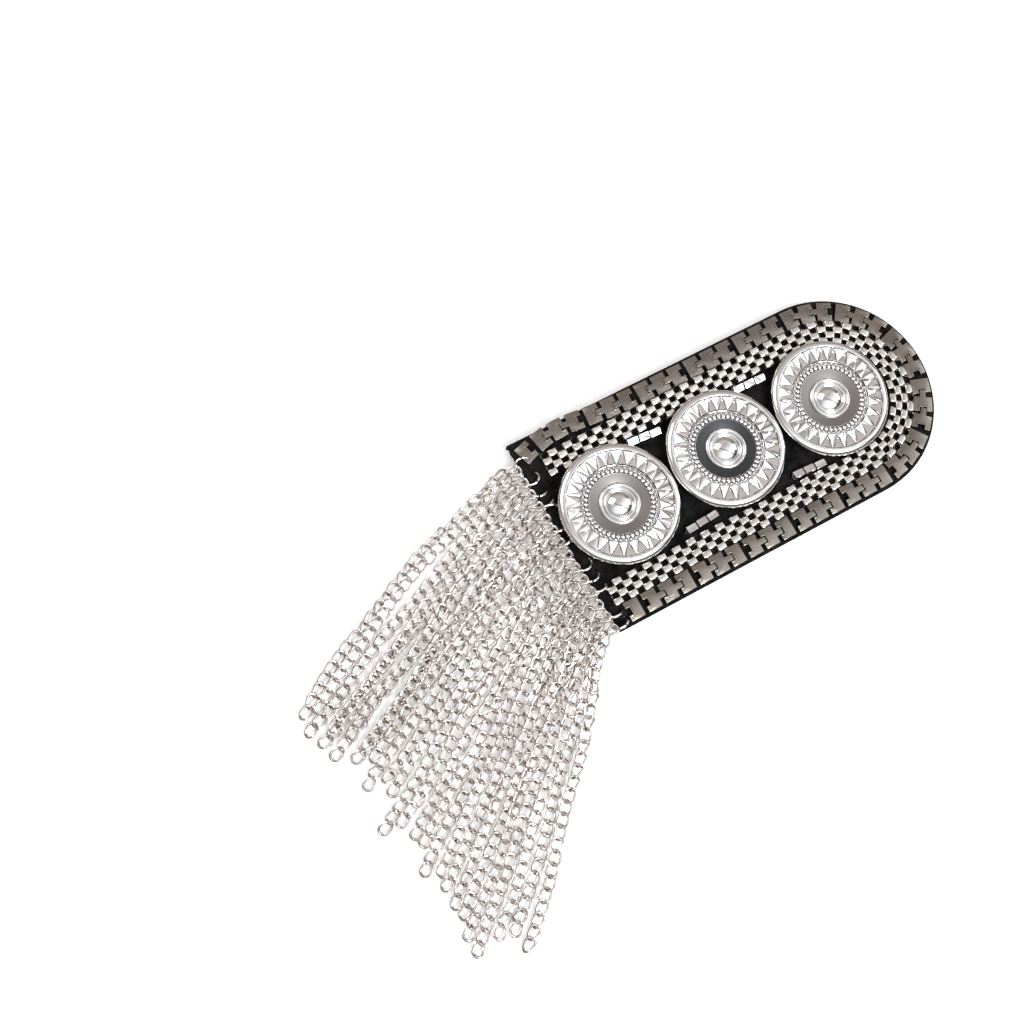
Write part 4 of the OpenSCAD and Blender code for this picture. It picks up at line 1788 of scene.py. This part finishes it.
@dataclass
class Studio:
    """Floor, sky, lights and camera."""

    view: Viewpoint = field(default_factory=Viewpoint)
    lights: tuple[Softbox, ...] = (
        Softbox("key", 0.35, -0.45, 0.75, 0.45, 4.5),
        Softbox("spark", 0.3, -0.4, 0.75, 0.07, 2.0),
        Softbox("fill", -0.55, 0.35, 0.6, 0.5, 2.0, (1.0, 0.98, 0.97)),
        Softbox("side", 0.7, 0.3, 0.35, 0.4, 0.6, (0.93, 0.96, 1.0)),
    )
    ceiling: float = 1.05
    walls: float = 1.25
    cool: Colour = (1.1, 1.12, 1.15)
    warm: Colour = (0.47, 0.43, 0.42)
    low_cool: Colour = (0.11, 0.11, 0.12)
    low_warm: Colour = (0.34, 0.31, 0.29)
    mirrored: Colour = (0.3, 0.265, 0.245)
    glow: float = 0.3

    def bright_bands(self, nodes: Nodes, near: Socket) -> Socket:
        """The walls' brightness by how near a direction is to the flat metal's reflection."""
        band = nodes.add("ShaderNodeValToRGB")
        nodes.link(near, band.inputs["Fac"])
        walls, ceiling = self.walls, self.ceiling
        stops = ((0.4, 1.0), (0.6, walls), (0.86, walls), (0.93, 1.1), (0.965, ceiling))
        elements = band.color_ramp.elements
        elements[0].color = (0.6, 0.6, 0.6, 1)
        elements[1].color = (ceiling, ceiling, ceiling, 1)
        for position, value in stops:
            elements.new(position).color = (value, value, value, 1)
        return band.outputs["Color"]

    def sky(self) -> None:
        """Pale walls, cool to one side and warm to the other, dark low down and in one band."""
        world = bpy.data.worlds.new("studio_sky")
        bpy.context.scene.world = world
        world.use_nodes = True
        world.node_tree.nodes.clear()
        nodes = Nodes(world.node_tree)
        direction = nodes.add("ShaderNodeTexCoord").outputs["Generated"]
        right, rise, forward = self.view.axes()
        look = (forward + right * 0.13 + rise * 0.04).normalized()
        mirrored = nodes.vectors("DOT_PRODUCT", direction, Vector((look.x, look.y, -look.z)))
        aside = (rise * 0.75 - right * 0.65).normalized()
        side = nodes.ramp(nodes.vectors("DOT_PRODUCT", direction, aside), -0.25, 0.4, 0, 1)
        tint = nodes.blend(side, self.cool, self.warm)
        overhead = nodes.vectors("MULTIPLY", self.bright_bands(nodes, mirrored), tint)
        level = nodes.add("ShaderNodeSeparateXYZ")
        nodes.link(direction, level.inputs[0])
        low = nodes.ramp(level.outputs["Z"], 0.42, 0.6, 1, 0)
        room = nodes.blend(low, overhead, nodes.blend(side, self.low_cool, self.low_warm))
        across = (rise * 0.95 + right * 0.3 + Vector((0, 0, -0.25))).normalized()
        arm = nodes.maths("ABSOLUTE", nodes.vectors("DOT_PRODUCT", direction, across))
        shaded = nodes.vectors("SCALE", room, nodes.ramp(arm, 0.03, 0.09, 0.3, 1.0))
        background = nodes.add("ShaderNodeBackground", Strength=1.0)
        nodes.link(shaded, background.inputs["Color"])
        output = nodes.add("ShaderNodeOutputWorld")
        nodes.link(background.outputs["Background"], output.inputs["Surface"])

    def floor(self) -> Object:
        """A plain white table top, a little brighter to the camera and darker in reflections."""
        let_go()
        bpy.ops.mesh.primitive_plane_add(size=4, location=(0, 0, 0))
        floor = named("table")
        material, nodes, shader = new_material("white_table")
        path = nodes.add("ShaderNodeLightPath").outputs
        grain = nodes.noise(nodes.object_place(), 30)
        white = nodes.blend(grain, (0.93, 0.93, 0.935), (0.95, 0.95, 0.95))
        seen = nodes.blend(path["Is Glossy Ray"], white, self.mirrored)
        nodes.link(seen, shader.inputs["Base Color"])
        shader.inputs["Roughness"].default_value = 0.9
        shader.inputs["Specular IOR Level"].default_value = 0.1
        shader.inputs["Emission Color"].default_value = (1.0, 0.995, 0.99, 1)
        glow = nodes.maths("MULTIPLY", path["Is Camera Ray"], self.glow)
        nodes.link(glow, shader.inputs["Emission Strength"])
        floor.data.materials.append(material)
        return floor

    def build(self) -> None:
        """Sets up the whole studio."""
        self.view.place_camera()
        self.sky()
        self.floor()
        for light in self.lights:
            light.place(self.view)
        bpy.context.scene.view_settings.view_transform = "Standard"
        bpy.context.scene.view_settings.exposure = 0.0


BEAD_ROWS = (
    BeadRow(0, 0, 1, -0.3, 0.0, -4, 20),
    BeadRow(1, 1, 1, -0.2, 0.0, -2, 20),
    BeadRow(2, 0, -1, 0.4, 0.4, 4, 8),
    BeadRow(3, 1, -1, 0.6, 0.0, -3, 8),
)


def main() -> None:
    """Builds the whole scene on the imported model."""
    logging.basicConfig(level=logging.INFO, format="%(name)s %(message)s")
    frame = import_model()
    Studio().build()
    rings = JumpRings()
    FeltPad(rings).build()
    PlateBand().build()
    WovenMesh().build()
    for index in range(3):
        ReliefDisc(index).build()
    for row in BEAD_ROWS:
        row.build()
    rings.build()
    ChainFringe(rings).build()
    Finish.PIN.dress(frame["nodes"]["pin_bar"])
    let_go()


if __name__ == "__main__":
    main()
